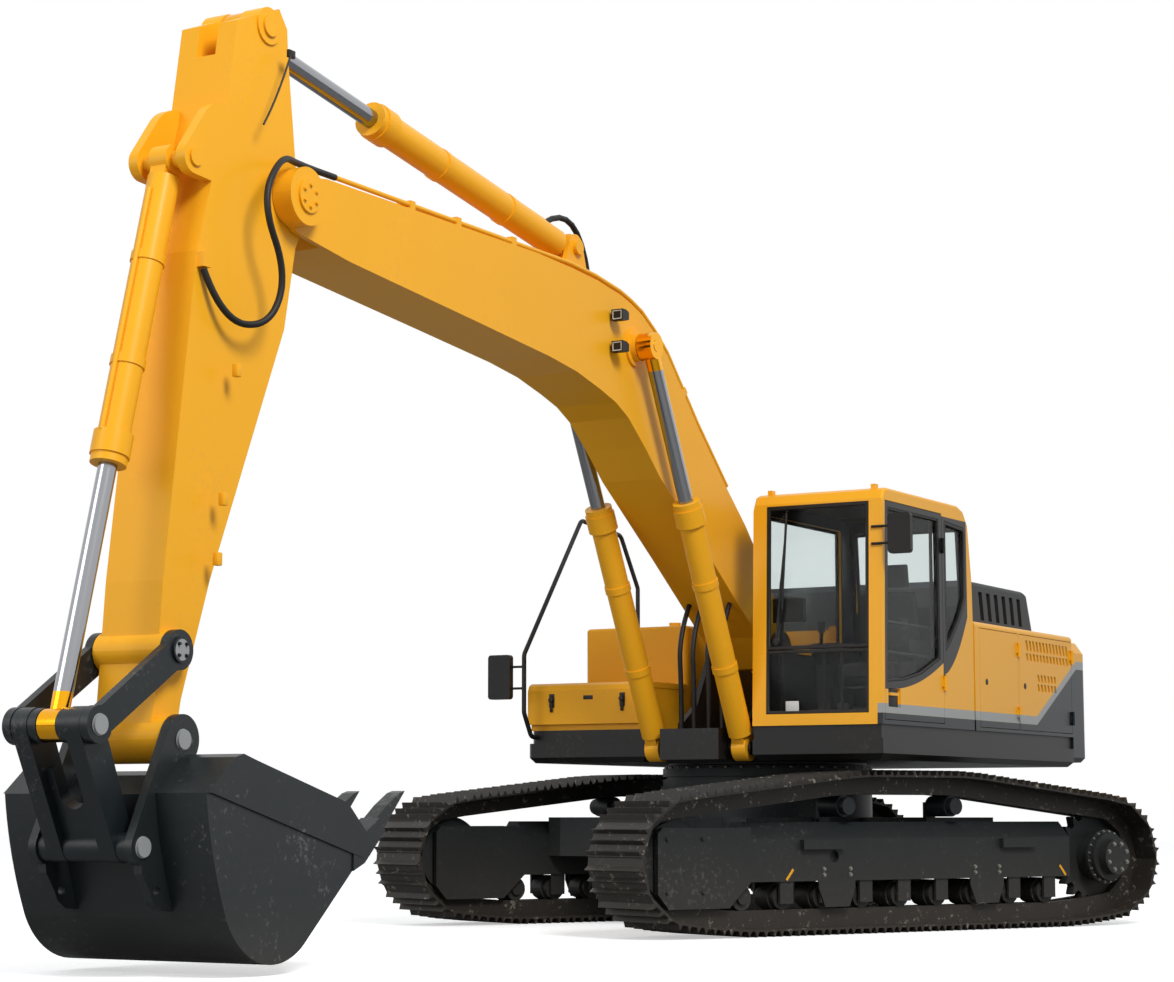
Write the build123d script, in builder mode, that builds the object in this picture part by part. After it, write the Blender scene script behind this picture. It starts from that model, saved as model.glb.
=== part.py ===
from build123d import *
import math
import os

os.makedirs("parts", exist_ok=True)

# Crawler excavator, in millimetres: X runs forward along the upper structure, Y to the cab side, Z up.
# Every size is counted from the slewing axis on the ground. The finished pieces are then moved back by
# SWING_X, so that the origin lies under the middle of the machine as it stands.

SWING_X = -2340
SLEW = 24
GAP = 5
FIT = 0.3
RUNNING = 0.05

# Undercarriage
TUMBLER_LENGTH = 4030
GAUGE = 2680
SHOE_WIDTH = 600
SHOE_COUNT = 48
WHEEL_Z = 500
PIN_RADIUS = 343
PIN_TO_RAIL = 58
PIN_TO_PLATE = 62
PLATE_THICKNESS = 14
GROUSER_HEIGHT = 36
GROUSER_BASE = 34
SHOE_CLEARANCE = 5
RAIL_THICKNESS = 42
RAIL_MIDDLE = 78
ROLLER_COUNT = 9
ROLLER_RADIUS = 85
CARRIER_OFFSET = 510
CARRIER_RADIUS = 80
CARRIER_Z = 870
FRAME_WIDTH = 320
FRAME_LOW = 360
FRAME_HIGH = 650
FRAME_CREST = 760
YOKE_LOW = 190
YOKE_HIGH = 725
YOKE_PLATE = 40
TEETH = 20
HUB_RADIUS = 175
HUB_OUT = 290
BEARING_RADIUS = 785
SPIGOT_RADIUS = 400
SPIGOT_DEPTH = 40
CARBODY_LOW = 500
CARBODY_HIGH = 1020
LEG_HIGH = 790
BEARING_HEIGHT = 150
TOW_EYE_X = 900
TOW_EYE_Y = 330
TOW_EYE_LOW = 560
TOW_EYE_RADIUS = 38
TOW_EYE_THICKNESS = 60

# Upper structure
DECK_LOW = 1190
DECK_STEP = 1335
DECK_HIGH = 1430
HOUSE_HALF = 1470
BAND_INSET = 20
CAB_FRONT = 1190
CAB_REAR = -490
CAB_WIDTH = 1000
CAB_ROOF = 3080
CAB_WALL = 50
BODY_TOP = 2245
COUNTERWEIGHT_FRONT = -2620
COUNTERWEIGHT_CORNER = -2930
COUNTERWEIGHT_LOW = 1232
TAIL = -3420
LIFT_HOLE_X = -2900
LIFT_HOLE_Y = 480
LIFT_HOLE_RADIUS = 24
LIFT_HOLE_DEPTH = 120
GIRDER_HALF = 280
GIRDER_PLATE = 40
GIRDER_FRONT = 1260
GIRDER_REAR = -900
NOTCH_REAR = 900
NOSE_HALF = 235
TANK_FRONT = 330
TANK_REAR = -720
TANK_TOP = 2230
TANK_INSET = 80
TOOLBOX_FRONT = 1050
TOOLBOX_TOP = 1780
TOOLBOX_WALL = 40
RIGHT_INNER = 500
HOOD_FRONT = -1130
HOOD_REAR = -2570
HOOD_TOP = 2615
HOOD_LEFT = 1150
HOOD_RIGHT = -700
DOOR_THICK = 40
PANEL_LOW = 1455
PANEL_HIGH = 2200

# Pins of the front gear, as (x, z)
FOOT = (290, 2010)
TIP = (6350, 4220)
ARM_END = (7385, 1190)
BOOM_CYLINDER_FOOT = (1090, 1280)
BOOM_CYLINDER_PIN = (2460, 3965)
ARM_CYLINDER_BASE = (3030, 4570)
ARM_CYLINDER_EYE = (6570, 5155)
BUCKET_CYLINDER_BASE = (7190, 4280)
LEVER_PIVOT = (7345, 1650)
LEVER_PIN = (7960, 1252)
BUCKET_PIN = (7687, 652)
PIN_R = 50
FOOT_PIN_R = 70

# Widths of the front gear
BOOM_HALF = 230
FORK_HALF = 320
ARM_HALF = 190
ARM_END_HALF = 275
BOOM_CYLINDER_Y = 350
EYE_WIDTH = 120
LEVER_IN = 225
LEVER_OUT = 275
EAR_IN = 285
EAR_OUT = 335
CAP = 14
BUCKET_HALF = 670
BUCKET_SHEET = 28
SIDE_SHEET = 30
EAR_HOLE = (7570, 430)
EAR_HOLE_RADIUS = 26

HALF_LENGTH = TUMBLER_LENGTH / 2
TRACK_Y = GAUGE / 2
BOX_HALF = FRAME_WIDTH / 2
CAB_INNER = HOUSE_HALF - CAB_WIDTH
HOUSE = Pos(SWING_X, 0, 0)
TRACKS = Pos(SWING_X, 0, 0) * Rot(0, 0, -SLEW)


def away(start, end):
    """Length and direction, in degrees, from one pin to another."""
    dx, dz = end[0] - start[0], end[1] - start[1]
    return math.hypot(dx, dz), math.degrees(math.atan2(dz, dx))


def side(y):
    """A plane seen from the side, with local x forward and local y up; extrusion runs toward -Y."""
    return Plane.XZ.offset(-y)


def along(pin, direction, y):
    """A plane square to a cylinder at one of its pins, so that extrusion runs along the cylinder."""
    angle = math.radians(direction)
    axis = (math.cos(angle), 0, math.sin(angle))
    return Plane(origin=(pin[0], y, pin[1]), x_dir=(0, 1, 0), z_dir=axis)


def keep(made, name, place=HOUSE):
    made.part = place * made.part
    made.part.label = name
    export_step(made.part, f"parts/{name}.step")


def both(low, high):
    """The same span on the left and on the right, as (low, high) pairs."""
    return ((low, high), (-high, -low))


def slab(points, y0, y1, mode=Mode.ADD):
    """A flat piece cut to an outline that is seen from the side."""
    with BuildSketch(side(y1)) as outline:
        Polygon(*points, align=None)
    extrude(outline.sketch, amount=y1 - y0, mode=mode)


def tile(points, z0, z1, mode=Mode.ADD):
    """A flat piece cut to an outline that is seen from above."""
    with BuildSketch(Plane.XY.offset(z0)) as outline:
        Polygon(*points, align=None)
    extrude(outline.sketch, amount=z1 - z0, mode=mode)


def lump(x0, x1, y0, y1, z0, z1, mode=Mode.ADD):
    tile([(x0, y0), (x1, y0), (x1, y1), (x0, y1)], z0, z1, mode)


def boss(pin, radius, y0, y1, mode=Mode.ADD):
    with BuildSketch(side(y1)) as disk:
        with Locations(pin):
            Circle(radius)
    extrude(disk.sketch, amount=y1 - y0, mode=mode)


def bore(pin, radius, y0, y1):
    boss(pin, radius, y0, y1, Mode.SUBTRACT)


def post(x, y, radius, z0, z1, mode=Mode.ADD):
    with BuildSketch(Plane.XY.offset(z0)) as disk:
        with Locations((x, y)):
            Circle(radius)
    extrude(disk.sketch, amount=z1 - z0, mode=mode)


def joined(start, end, r0, r1, y0, y1):
    """A plate with round ends on two pins."""
    length, direction = away(start, end)
    angle = math.radians(direction)
    line = (math.cos(angle), 0, math.sin(angle))
    plane = Plane(origin=(start[0], y1, start[1]), x_dir=line, z_dir=(0, -1, 0))
    tilt = math.acos((r0 - r1) / length)
    top0 = (r0 * math.cos(tilt), r0 * math.sin(tilt))
    top1 = (length + r1 * math.cos(tilt), r1 * math.sin(tilt))
    low0 = (top0[0], -top0[1])
    low1 = (top1[0], -top1[1])
    with BuildSketch(plane) as outline:
        with BuildLine():
            Line(top0, top1)
            ThreePointArc(top1, (length + r1, 0), low1)
            Line(low1, low0)
            ThreePointArc(low0, (-r0, 0), top0)
        make_face()
    extrude(outline.sketch, amount=y1 - y0)


def pipe(points, radius, diameter):
    """A round bar or pipe along straight runs, bent to one radius."""
    with BuildLine() as route:
        FilletPolyline(*points, radius=radius)
    path = route.wire()
    with BuildSketch(Plane(origin=path @ 0, z_dir=path % 0)) as section:
        Circle(diameter / 2)
    sweep(section.sketch, path=path)


def hose(points, diameter):
    """A hose whose bends take up 45% of the shorter straight run on each side of them."""
    radii = []
    with BuildLine() as route:
        start = Vector(*points[0])
        for before, corner, after in zip(points, points[1:], points[2:]):
            corner = Vector(*corner)
            back = Vector(*before) - corner
            ahead = Vector(*after) - corner
            run = 0.45 * min(back.length, ahead.length)
            back = back.normalized()
            ahead = ahead.normalized()
            turn = math.pi - math.radians(back.get_angle(ahead))
            bend = run / math.tan(turn / 2)
            middle = corner + (back + ahead).normalized() * (bend / math.cos(turn / 2) - bend)
            enter = corner + back * run
            leave = corner + ahead * run
            Line(start, enter)
            ThreePointArc(enter, middle, leave)
            start = leave
            radii.append(round(bend))
        Line(start, Vector(*points[-1]))
    path = route.wire()
    print("hose of", diameter, "mm, length", round(path.length), "mm, bend radii", radii)
    with BuildSketch(Plane(origin=path @ 0, z_dir=path % 0)) as section:
        Circle(diameter / 2)
    sweep(section.sketch, path=path)


# Hinges of the doors: two fixed knuckles carry a pin, and the door's own knuckle turns on it.

HINGE_R = 12
HINGE_PIN_R = 6
HINGE_OUT = HINGE_R + 1
KNUCKLE = 26
LEAF = 36
LEAF_THICK = 8
HINGE_LENGTH = 110


def hinge_post(x, outer, z, back):
    """The fixed half of an upright hinge, with a leaf that reaches back onto the panel behind it."""
    sign = math.copysign(1, outer)
    y = outer + sign * HINGE_OUT
    face = sorted((outer, outer + sign * LEAF_THICK))
    for low in (z, z + HINGE_LENGTH - KNUCKLE):
        post(x, y, HINGE_R, low, low + KNUCKLE)
        lump(x - back, x - 1, *face, low, low + KNUCKLE)
    post(x, y, HINGE_PIN_R, z, z + HINGE_LENGTH)


def hinge_hung(x, outer, z):
    """The moving half of an upright hinge, with a leaf that reaches forward onto the door."""
    sign = math.copysign(1, outer)
    y = outer + sign * HINGE_OUT
    face = sorted((outer, outer + sign * LEAF_THICK))
    low, high = z + KNUCKLE + 1, z + HINGE_LENGTH - KNUCKLE - 1
    post(x, y, HINGE_R, low, high)
    lump(x, x + LEAF, *face, low, high)
    post(x, y, HINGE_PIN_R + RUNNING, low, high, Mode.SUBTRACT)


# Tracks: the chain's line is found as a belt round the wheels, then each link and shoe is laid on it.

ROLLER_SPACING = TUMBLER_LENGTH / 11.2
ROLLER_Z = PIN_TO_PLATE + PLATE_THICKNESS + GROUSER_HEIGHT + PIN_TO_RAIL + ROLLER_RADIUS
ROLLER_END = ROLLER_SPACING * (ROLLER_COUNT - 1) / 2
FLAT_END = ROLLER_END + 110
WHEELS = [
    (HALF_LENGTH, WHEEL_Z, PIN_RADIUS),
    (-HALF_LENGTH, WHEEL_Z, PIN_RADIUS),
    (CARRIER_OFFSET, CARRIER_Z, CARRIER_RADIUS + PIN_TO_RAIL),
    (-CARRIER_OFFSET, CARRIER_Z, CARRIER_RADIUS + PIN_TO_RAIL),
    (FLAT_END, ROLLER_Z, ROLLER_RADIUS + PIN_TO_RAIL),
    (-FLAT_END, ROLLER_Z, ROLLER_RADIUS + PIN_TO_RAIL),
]


def belt(circles, samples=72):
    """The closed line that a belt takes round a set of circles, as a list of points."""
    points = []
    for cx, cz, radius in circles:
        for step in range(samples):
            turn = 2 * math.pi * step / samples
            points.append((cx + radius * math.cos(turn), cz + radius * math.sin(turn)))
    points.sort()

    def half(run):
        chain = []
        for p in run:
            while len(chain) > 1 and (
                (chain[-1][0] - chain[-2][0]) * (p[1] - chain[-2][1])
                - (chain[-1][1] - chain[-2][1]) * (p[0] - chain[-2][0])
            ) <= 0:
                chain.pop()
            chain.append(p)
        return chain[:-1]

    return half(points) + half(points[::-1])


def spaced(line, count):
    """Points spaced evenly round a closed line."""
    lengths = [math.dist(a, b) for a, b in zip(line, line[1:] + line[:1])]
    total = sum(lengths)
    found = []
    for k in range(count):
        left = total * k / count
        for index, length in enumerate(lengths):
            if left <= length:
                break
            left -= length
        a, b = line[index], line[(index + 1) % len(line)]
        share = left / length
        found.append((a[0] + (b[0] - a[0]) * share, a[1] + (b[1] - a[1]) * share))
    return found


PINS = spaced(belt(WHEELS), SHOE_COUNT)
PLATE_TOP = PIN_TO_PLATE + PLATE_THICKNESS


def around(profile):
    """Lays a profile, as (distance along the link, height outward), on every link of the chain."""
    outline = []
    for a, b in zip(PINS, PINS[1:] + PINS[:1]):
        length = math.dist(a, b)
        tx, tz = (b[0] - a[0]) / length, (b[1] - a[1]) / length
        for share, height in profile(length):
            outline.append((a[0] + tx * share + tz * height, a[1] + tz * share - tx * height))
    return outline


def shoe(length):
    """One triple-grouser shoe from the side, from its front gap to its rear gap."""
    points = [(0, PIN_TO_PLATE + SHOE_CLEARANCE), (SHOE_CLEARANCE, PLATE_TOP)]
    for share in (0.14, 0.5, 0.86):
        middle = length * share
        points += [
            (middle - GROUSER_BASE / 2, PLATE_TOP),
            (middle, PLATE_TOP + GROUSER_HEIGHT),
            (middle + GROUSER_BASE / 2, PLATE_TOP),
        ]
    return points


def shoe_seat(length):
    return [(0, PIN_TO_PLATE)]


def rail_edge(length):
    return [(0, -PIN_TO_RAIL)]


def track(y):
    with BuildPart() as made:
        slab(around(shoe), y - SHOE_WIDTH / 2, y + SHOE_WIDTH / 2)
        slab(around(shoe_seat), y - SHOE_WIDTH / 2, y + SHOE_WIDTH / 2, Mode.SUBTRACT)
        for middle in (y + RAIL_MIDDLE, y - RAIL_MIDDLE):
            with BuildSketch(side(middle + RAIL_THICKNESS / 2)) as rail:
                Polygon(*around(shoe_seat), align=None)
                Polygon(*around(rail_edge), align=None, mode=Mode.SUBTRACT)
            extrude(rail.sketch, amount=RAIL_THICKNESS)
    return made


track_left = track(TRACK_Y)
keep(track_left, "track_left", TRACKS)
track_right = track(-TRACK_Y)
keep(track_right, "track_right", TRACKS)

# Track frames, with the rollers and wheels that they carry

FRAME_REAR = -HALF_LENGTH + 375
YOKE_REAR = HALF_LENGTH - 615
YOKE_FRONT = HALF_LENGTH + 175
RAIL_OUT = RAIL_MIDDLE + RAIL_THICKNESS / 2
RAIL_IN = RAIL_MIDDLE - RAIL_THICKNESS / 2
MOUNT_IN = RAIL_OUT + GAP
IDLER = (HALF_LENGTH, WHEEL_Z)
SPROCKET = (-HALF_LENGTH, WHEEL_Z)
STEPS = ((590, 965), (-1265, -925))
STEP_LOW = 575
STEP_HIGH = 640
STEP_OUT = 40
GUARDS = (635, -795)
GUARD_LOW = 182
GUARD_HALF = 165
GUARD_THICK = 12
FRAME_HOLE = (660, 525)
FRAME_HOLE_R = 42
POST_IN = 115
POST_OUT = 150


def facing(sign, low, high):
    """A span counted outward from the middle of the left (1) or right (-1) track."""
    return sorted((sign * (TRACK_Y + low), sign * (TRACK_Y + high)))


with BuildPart() as track_frames:
    for sign in (1, -1):
        y = sign * TRACK_Y
        slab(
            [(FRAME_REAR, FRAME_LOW), (YOKE_REAR, FRAME_LOW), (YOKE_REAR, FRAME_HIGH), (FRAME_REAR, FRAME_HIGH)],
            y - BOX_HALF,
            y + BOX_HALF,
        )
        with BuildSketch(Plane.YZ.offset(FRAME_REAR)) as crest:
            with BuildLine():
                Polyline(
                    (y - BOX_HALF, FRAME_HIGH),
                    (y + BOX_HALF, FRAME_HIGH),
                    (y + BOX_HALF / 3, FRAME_CREST),
                    (y - BOX_HALF / 3, FRAME_CREST),
                    close=True,
                )
            make_face()
        extrude(crest.sketch, amount=YOKE_REAR - FRAME_REAR)
        for low, high in STEPS:
            lump(low, high, *facing(sign, BOX_HALF - 1, BOX_HALF + STEP_OUT), STEP_LOW, STEP_HIGH)
        for x in GUARDS:
            corners = [
                (x - GUARD_HALF, FRAME_LOW + 2),
                (x - GUARD_HALF, FRAME_LOW - 50),
                (x - GUARD_HALF + 55, GUARD_LOW),
                (x + GUARD_HALF - 55, GUARD_LOW),
                (x + GUARD_HALF, FRAME_LOW - 50),
                (x + GUARD_HALF, FRAME_LOW + 2),
            ]
            slab(corners, *facing(sign, BOX_HALF - GUARD_THICK, BOX_HALF))
        bore(FRAME_HOLE, FRAME_HOLE_R, *facing(sign, BOX_HALF - 30, BOX_HALF))
        boss(SPROCKET, 215, *facing(sign, -BOX_HALF, -MOUNT_IN))
        slab(
            [(SPROCKET[0], 300), (FRAME_REAR + 10, FRAME_LOW), (FRAME_REAR + 10, FRAME_HIGH + 40), (SPROCKET[0], 700)],
            *facing(sign, -BOX_HALF, -MOUNT_IN),
        )
        boss(SPROCKET, 130, *facing(sign, -BOX_HALF - 70, -BOX_HALF))
        for x in (CARRIER_OFFSET, -CARRIER_OFFSET):
            lump(x - 45, x + 45, *facing(sign, -POST_OUT, -POST_IN), FRAME_HIGH - 20, CARRIER_Z + 30)
keep(track_frames, "track_frames", TRACKS)

with BuildPart() as idler_yokes:
    outline = [
        (YOKE_REAR, FRAME_LOW),
        (YOKE_REAR + 190, YOKE_LOW),
        (YOKE_FRONT - 90, YOKE_LOW),
        (YOKE_FRONT, YOKE_LOW + 100),
        (YOKE_FRONT, YOKE_HIGH - 40),
        (YOKE_FRONT - 40, YOKE_HIGH),
        (YOKE_REAR, YOKE_HIGH),
    ]
    for sign in (1, -1):
        slab(outline, *facing(sign, BOX_HALF - YOKE_PLATE, BOX_HALF))
        slab(outline, *facing(sign, -BOX_HALF, YOKE_PLATE - BOX_HALF))
keep(idler_yokes, "idler_yokes", TRACKS)

# The rails are straight between two pins, so a wheel reaches no further than the middle of a link.
LINK = math.dist(PINS[0], PINS[1])
RAIL_REACH = math.sqrt(PIN_RADIUS**2 - (LINK / 2) ** 2) - PIN_TO_RAIL
WHEEL_TREAD = RAIL_REACH - 5

with BuildPart() as idlers:
    for sign in (1, -1):
        boss(IDLER, WHEEL_TREAD, *facing(sign, -RAIL_OUT, RAIL_OUT))
        boss(IDLER, WHEEL_TREAD + 35, *facing(sign, GAP - RAIL_IN, RAIL_IN - GAP))
        boss(IDLER, 90, *facing(sign, YOKE_PLATE - BOX_HALF, BOX_HALF - YOKE_PLATE))
keep(idlers, "idlers", TRACKS)

TOOTH_TIP = PIN_RADIUS + 9
TOOTH_ROOT = PIN_RADIUS - 48


def star():
    """A toothed wheel's outline, with flat tips and flat roots."""
    points = []
    for tooth in range(TEETH):
        for share, radius in ((0.05, TOOTH_TIP), (0.17, TOOTH_TIP), (0.42, TOOTH_ROOT), (0.8, TOOTH_ROOT)):
            turn = 2 * math.pi * (tooth + share) / TEETH
            points.append((SPROCKET[0] + radius * math.cos(turn), WHEEL_Z + radius * math.sin(turn)))
    return points


with BuildPart() as sprockets:
    for sign in (1, -1):
        slab(star(), *facing(sign, -35, 35))
        boss(SPROCKET, HUB_RADIUS, *facing(sign, -MOUNT_IN, 215))
        boss(SPROCKET, HUB_RADIUS + 25, *facing(sign, 150, 175))
        boss(SPROCKET, HUB_RADIUS - 45, *facing(sign, 215, HUB_OUT))
keep(sprockets, "sprockets", TRACKS)

with BuildPart() as track_rollers:
    for sign in (1, -1):
        for k in range(ROLLER_COUNT):
            pin = (ROLLER_END - k * ROLLER_SPACING, ROLLER_Z)
            behind_yoke = pin[0] + 60 > YOKE_REAR
            cap_end = BOX_HALF - FIT - (YOKE_PLATE if behind_yoke else GUARD_THICK)
            boss(pin, ROLLER_RADIUS - 0.1, *facing(sign, -RAIL_OUT, RAIL_OUT))
            boss(pin, ROLLER_RADIUS + 13, *facing(sign, GAP - RAIL_IN, RAIL_IN - GAP))
            boss(pin, 45, *facing(sign, -cap_end, cap_end))
            if not behind_yoke:
                for low, high in both(cap_end - 20, cap_end):
                    lump(pin[0] - 58, pin[0] + 58, *facing(sign, low, high), pin[1] - 45, FRAME_LOW)
keep(track_rollers, "track_rollers", TRACKS)

with BuildPart() as carrier_rollers:
    for sign in (1, -1):
        for x in (CARRIER_OFFSET, -CARRIER_OFFSET):
            pin = (x, CARRIER_Z)
            boss(pin, CARRIER_RADIUS - 5.5, *facing(sign, -RAIL_OUT, RAIL_OUT))
            boss(pin, 60, *facing(sign, RAIL_OUT, 150))
            boss(pin, 35, *facing(sign, -POST_IN, 0))
keep(carrier_rollers, "carrier_rollers", TRACKS)

LEG_END = TRACK_Y - BOX_HALF

with BuildPart() as carbody:
    lump(-780, 780, -600, 600, CARBODY_LOW, LEG_HIGH)
    post(0, 0, BEARING_RADIUS - 5, LEG_HIGH - 100, CARBODY_HIGH - 40)
    post(0, 0, BEARING_RADIUS + 15, CARBODY_HIGH - 40, CARBODY_HIGH)
    for end in (1, -1):
        for sign in (1, -1):
            leg = [
                (end * 120, sign * 450),
                (end * 560, sign * LEG_END),
                (end * 1180, sign * LEG_END),
                (end * 1150, sign * (LEG_END - 110)),
                (end * 780, sign * 420),
            ]
            tile(leg, CARBODY_LOW, LEG_HIGH)
            x, y = end * TOW_EYE_X, sign * TOW_EYE_Y
            z0, z1 = TOW_EYE_LOW, TOW_EYE_LOW + TOW_EYE_THICKNESS
            lump(*sorted((end * 700, x)), y - 85, y + 85, z0, z1)
            post(x, y, 85, z0, z1)
            post(x, y, TOW_EYE_RADIUS, z0, z1, Mode.SUBTRACT)
keep(carbody, "carbody", TRACKS)

BEARING_TOP = CARBODY_HIGH + BEARING_HEIGHT
DECK_SEAT = BEARING_TOP + GAP

with BuildPart() as swing_bearing:
    post(0, 0, BEARING_RADIUS, CARBODY_HIGH, CARBODY_HIGH + 50)
    post(0, 0, BEARING_RADIUS - 30, CARBODY_HIGH + 50, CARBODY_HIGH + 70)
    post(0, 0, BEARING_RADIUS, CARBODY_HIGH + 70, BEARING_TOP - 20)
    post(0, 0, BEARING_RADIUS - 45, BEARING_TOP - 20, BEARING_TOP)
    post(0, 0, SPIGOT_RADIUS, BEARING_TOP, BEARING_TOP + SPIGOT_DEPTH)
keep(swing_bearing, "swing_bearing", TRACKS)

# Deck: the lower skirt stands out below a band that is set in


def deck(inset, z0, z1):
    half = HOUSE_HALF - inset
    corner = 30
    outline = [
        (NOTCH_REAR, GIRDER_HALF),
        (NOTCH_REAR, CAB_INNER),
        (CAB_FRONT - inset, CAB_INNER),
        (CAB_FRONT - inset, half),
        (COUNTERWEIGHT_FRONT, half),
        (COUNTERWEIGHT_FRONT, -half),
        (TOOLBOX_FRONT - inset - corner, -half),
        (TOOLBOX_FRONT - inset, -half + corner),
        (TOOLBOX_FRONT - inset, -CAB_INNER),
        (NOTCH_REAR, -CAB_INNER),
        (NOTCH_REAR, -GIRDER_HALF),
    ]
    tile(outline, z0, z1)


SEAT_RADIUS = BEARING_RADIUS - 45
CYLINDER_BOSS = 80

with BuildPart() as upper_frame:
    deck(0, DECK_LOW, DECK_STEP)
    chamfer(upper_frame.faces().sort_by(Axis.Z)[0].edges(), length=40)
    deck(BAND_INSET, DECK_STEP, DECK_HIGH)
    for y0, y1 in both(GIRDER_HALF - GIRDER_PLATE, GIRDER_HALF):
        girder = [
            (GIRDER_REAR, DECK_LOW + 10),
            (NOTCH_REAR, DECK_LOW + 10),
            (NOTCH_REAR, DECK_HIGH + 40),
            (FOOT[0] + 380, DECK_HIGH + 180),
            (FOOT[0] + 150, FOOT[1] - 20),
            (FOOT[0] - 140, FOOT[1] + 50),
            (GIRDER_REAR + 300, DECK_HIGH + 300),
            (GIRDER_REAR, DECK_HIGH + 200),
        ]
        slab(girder, y0, y1)
        boss(FOOT, 150, y0, y1)
    post(0, 0, SEAT_RADIUS, DECK_SEAT, DECK_LOW + 20)
    post(0, 0, SPIGOT_RADIUS + RUNNING, DECK_SEAT, BEARING_TOP + SPIGOT_DEPTH + GAP, Mode.SUBTRACT)
    lump(NOTCH_REAR - 10, GIRDER_FRONT, -NOSE_HALF, NOSE_HALF, DECK_LOW + 10, DECK_HIGH - 10)
    boss(BOOM_CYLINDER_FOOT, CYLINDER_BOSS, -NOSE_HALF - 10, NOSE_HALF + 10)
    boss(BOOM_CYLINDER_FOOT, PIN_R, -BOOM_CYLINDER_Y - 75, BOOM_CYLINDER_Y + 75)
    boss(FOOT, FOOT_PIN_R, -GIRDER_HALF - 20, GIRDER_HALF + 20)
keep(upper_frame, "upper_frame")

with BuildPart() as counterweight:
    top = BODY_TOP - 40
    front = COUNTERWEIGHT_FRONT - FIT
    with BuildSketch(Plane.XY.offset(COUNTERWEIGHT_LOW)) as plan:
        with BuildLine():
            Line((COUNTERWEIGHT_CORNER, -HOUSE_HALF), (front, -HOUSE_HALF))
            Line((front, -HOUSE_HALF), (front, HOUSE_HALF))
            Line((front, HOUSE_HALF), (COUNTERWEIGHT_CORNER, HOUSE_HALF))
            ThreePointArc((COUNTERWEIGHT_CORNER, HOUSE_HALF), (TAIL, 0), (COUNTERWEIGHT_CORNER, -HOUSE_HALF))
        make_face()
        fillet(plan.vertices().group_by(Axis.X)[0], radius=130)
    extrude(plan.sketch, amount=top - COUNTERWEIGHT_LOW)
    rim = counterweight.faces().sort_by(Axis.Z)[-1].edges().filter_by_position(Axis.X, TAIL - 1, front - 30)
    chamfer(rim, length=90, length2=60)
    heel = counterweight.faces().sort_by(Axis.Z)[0].edges().filter_by_position(Axis.X, TAIL - 1, front - 30)
    chamfer(heel, length=35)
    for y in (LIFT_HOLE_Y, -LIFT_HOLE_Y):
        post(LIFT_HOLE_X, y, LIFT_HOLE_RADIUS, top - LIFT_HOLE_DEPTH, top, Mode.SUBTRACT)
keep(counterweight, "counterweight")

# Compartments behind the cab and the tank: hollow boxes with a doorway behind each door

WALL = 40
DOORWAY = 35
HOUSE_FLOOR = DECK_HIGH + FIT
LEFT_FRONT_DOOR = (-1410, -610)
LEFT_REAR_DOOR = (-2600, -1430)
RIGHT_DOOR = (-2000, -760)
BODY_FRONT = CAB_REAR - 30
BAY_FRONT = -1150
BAY_REAR = -2350
BAY_HALF = 560
HOOD_WALL = 30


def doorway(door, outer):
    """A recess for a door in a side wall, and a smaller opening behind it."""
    rear, front = door
    sign = math.copysign(1, outer)
    recess = sorted((outer, outer - sign * (DOOR_THICK + GAP)))
    deep = sorted((outer, outer - sign * (DOOR_THICK + WALL + 2 * GAP)))
    lump(rear, front, *recess, PANEL_LOW, PANEL_HIGH, Mode.SUBTRACT)
    opening = (rear + DOORWAY, front - DOORWAY)
    lump(*opening, *deep, PANEL_LOW + DOORWAY, PANEL_HIGH - DOORWAY, Mode.SUBTRACT)


INSIDE = HOUSE_HALF - DOOR_THICK - GAP - WALL
ROOM_LOW = HOUSE_FLOOR + WALL
ROOM_HIGH = BODY_TOP - WALL

with BuildPart() as rear_body:
    lump(COUNTERWEIGHT_FRONT + FIT, BODY_FRONT, FIT, HOUSE_HALF, HOUSE_FLOOR, BODY_TOP)
    brow = rear_body.edges().filter_by(Axis.X).group_by(Axis.Z)[-1].sort_by(Axis.Y)[-1]
    fillet(brow, radius=38)
    lump(GIRDER_REAR - FIT, BODY_FRONT, 0, GIRDER_HALF + FIT, HOUSE_FLOOR, BODY_TOP, Mode.SUBTRACT)
    lump(BAY_REAR, BAY_FRONT, 0, BAY_HALF, HOUSE_FLOOR, BODY_TOP, Mode.SUBTRACT)
    for rear, front in (LEFT_FRONT_DOOR, LEFT_REAR_DOOR):
        lump(rear + WALL / 2, front - WALL / 2, BAY_HALF + WALL, INSIDE, ROOM_LOW, ROOM_HIGH, Mode.SUBTRACT)
        doorway((rear, front), HOUSE_HALF)
    hinge_post(LEFT_FRONT_DOOR[0] + GAP, HOUSE_HALF, PANEL_LOW + 70, 22)
    hinge_post(LEFT_FRONT_DOOR[0] + GAP, HOUSE_HALF, PANEL_HIGH - 180, 22)
    hinge_post(LEFT_REAR_DOOR[0] + GAP, HOUSE_HALF, PANEL_LOW + 70, 22)
    hinge_post(LEFT_REAR_DOOR[0] + GAP, HOUSE_HALF, PANEL_HIGH - 180, 22)
    for y in (300, 860):
        boss((HOOD_REAR - HINGE_OUT, BODY_TOP + HINGE_OUT), HINGE_R, y, y + KNUCKLE)
        boss((HOOD_REAR - HINGE_OUT, BODY_TOP + HINGE_OUT), HINGE_R, y + 84, y + HINGE_LENGTH)
        boss((HOOD_REAR - HINGE_OUT, BODY_TOP + HINGE_OUT), HINGE_PIN_R, y, y + HINGE_LENGTH)
        for low in (y, y + 84):
            lump(
                HOOD_REAR - HINGE_OUT - 10,
                HOOD_REAR - HINGE_OUT + 8,
                low,
                low + KNUCKLE,
                BODY_TOP - 5,
                BODY_TOP + HINGE_OUT,
            )
keep(rear_body, "rear_body")

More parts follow.
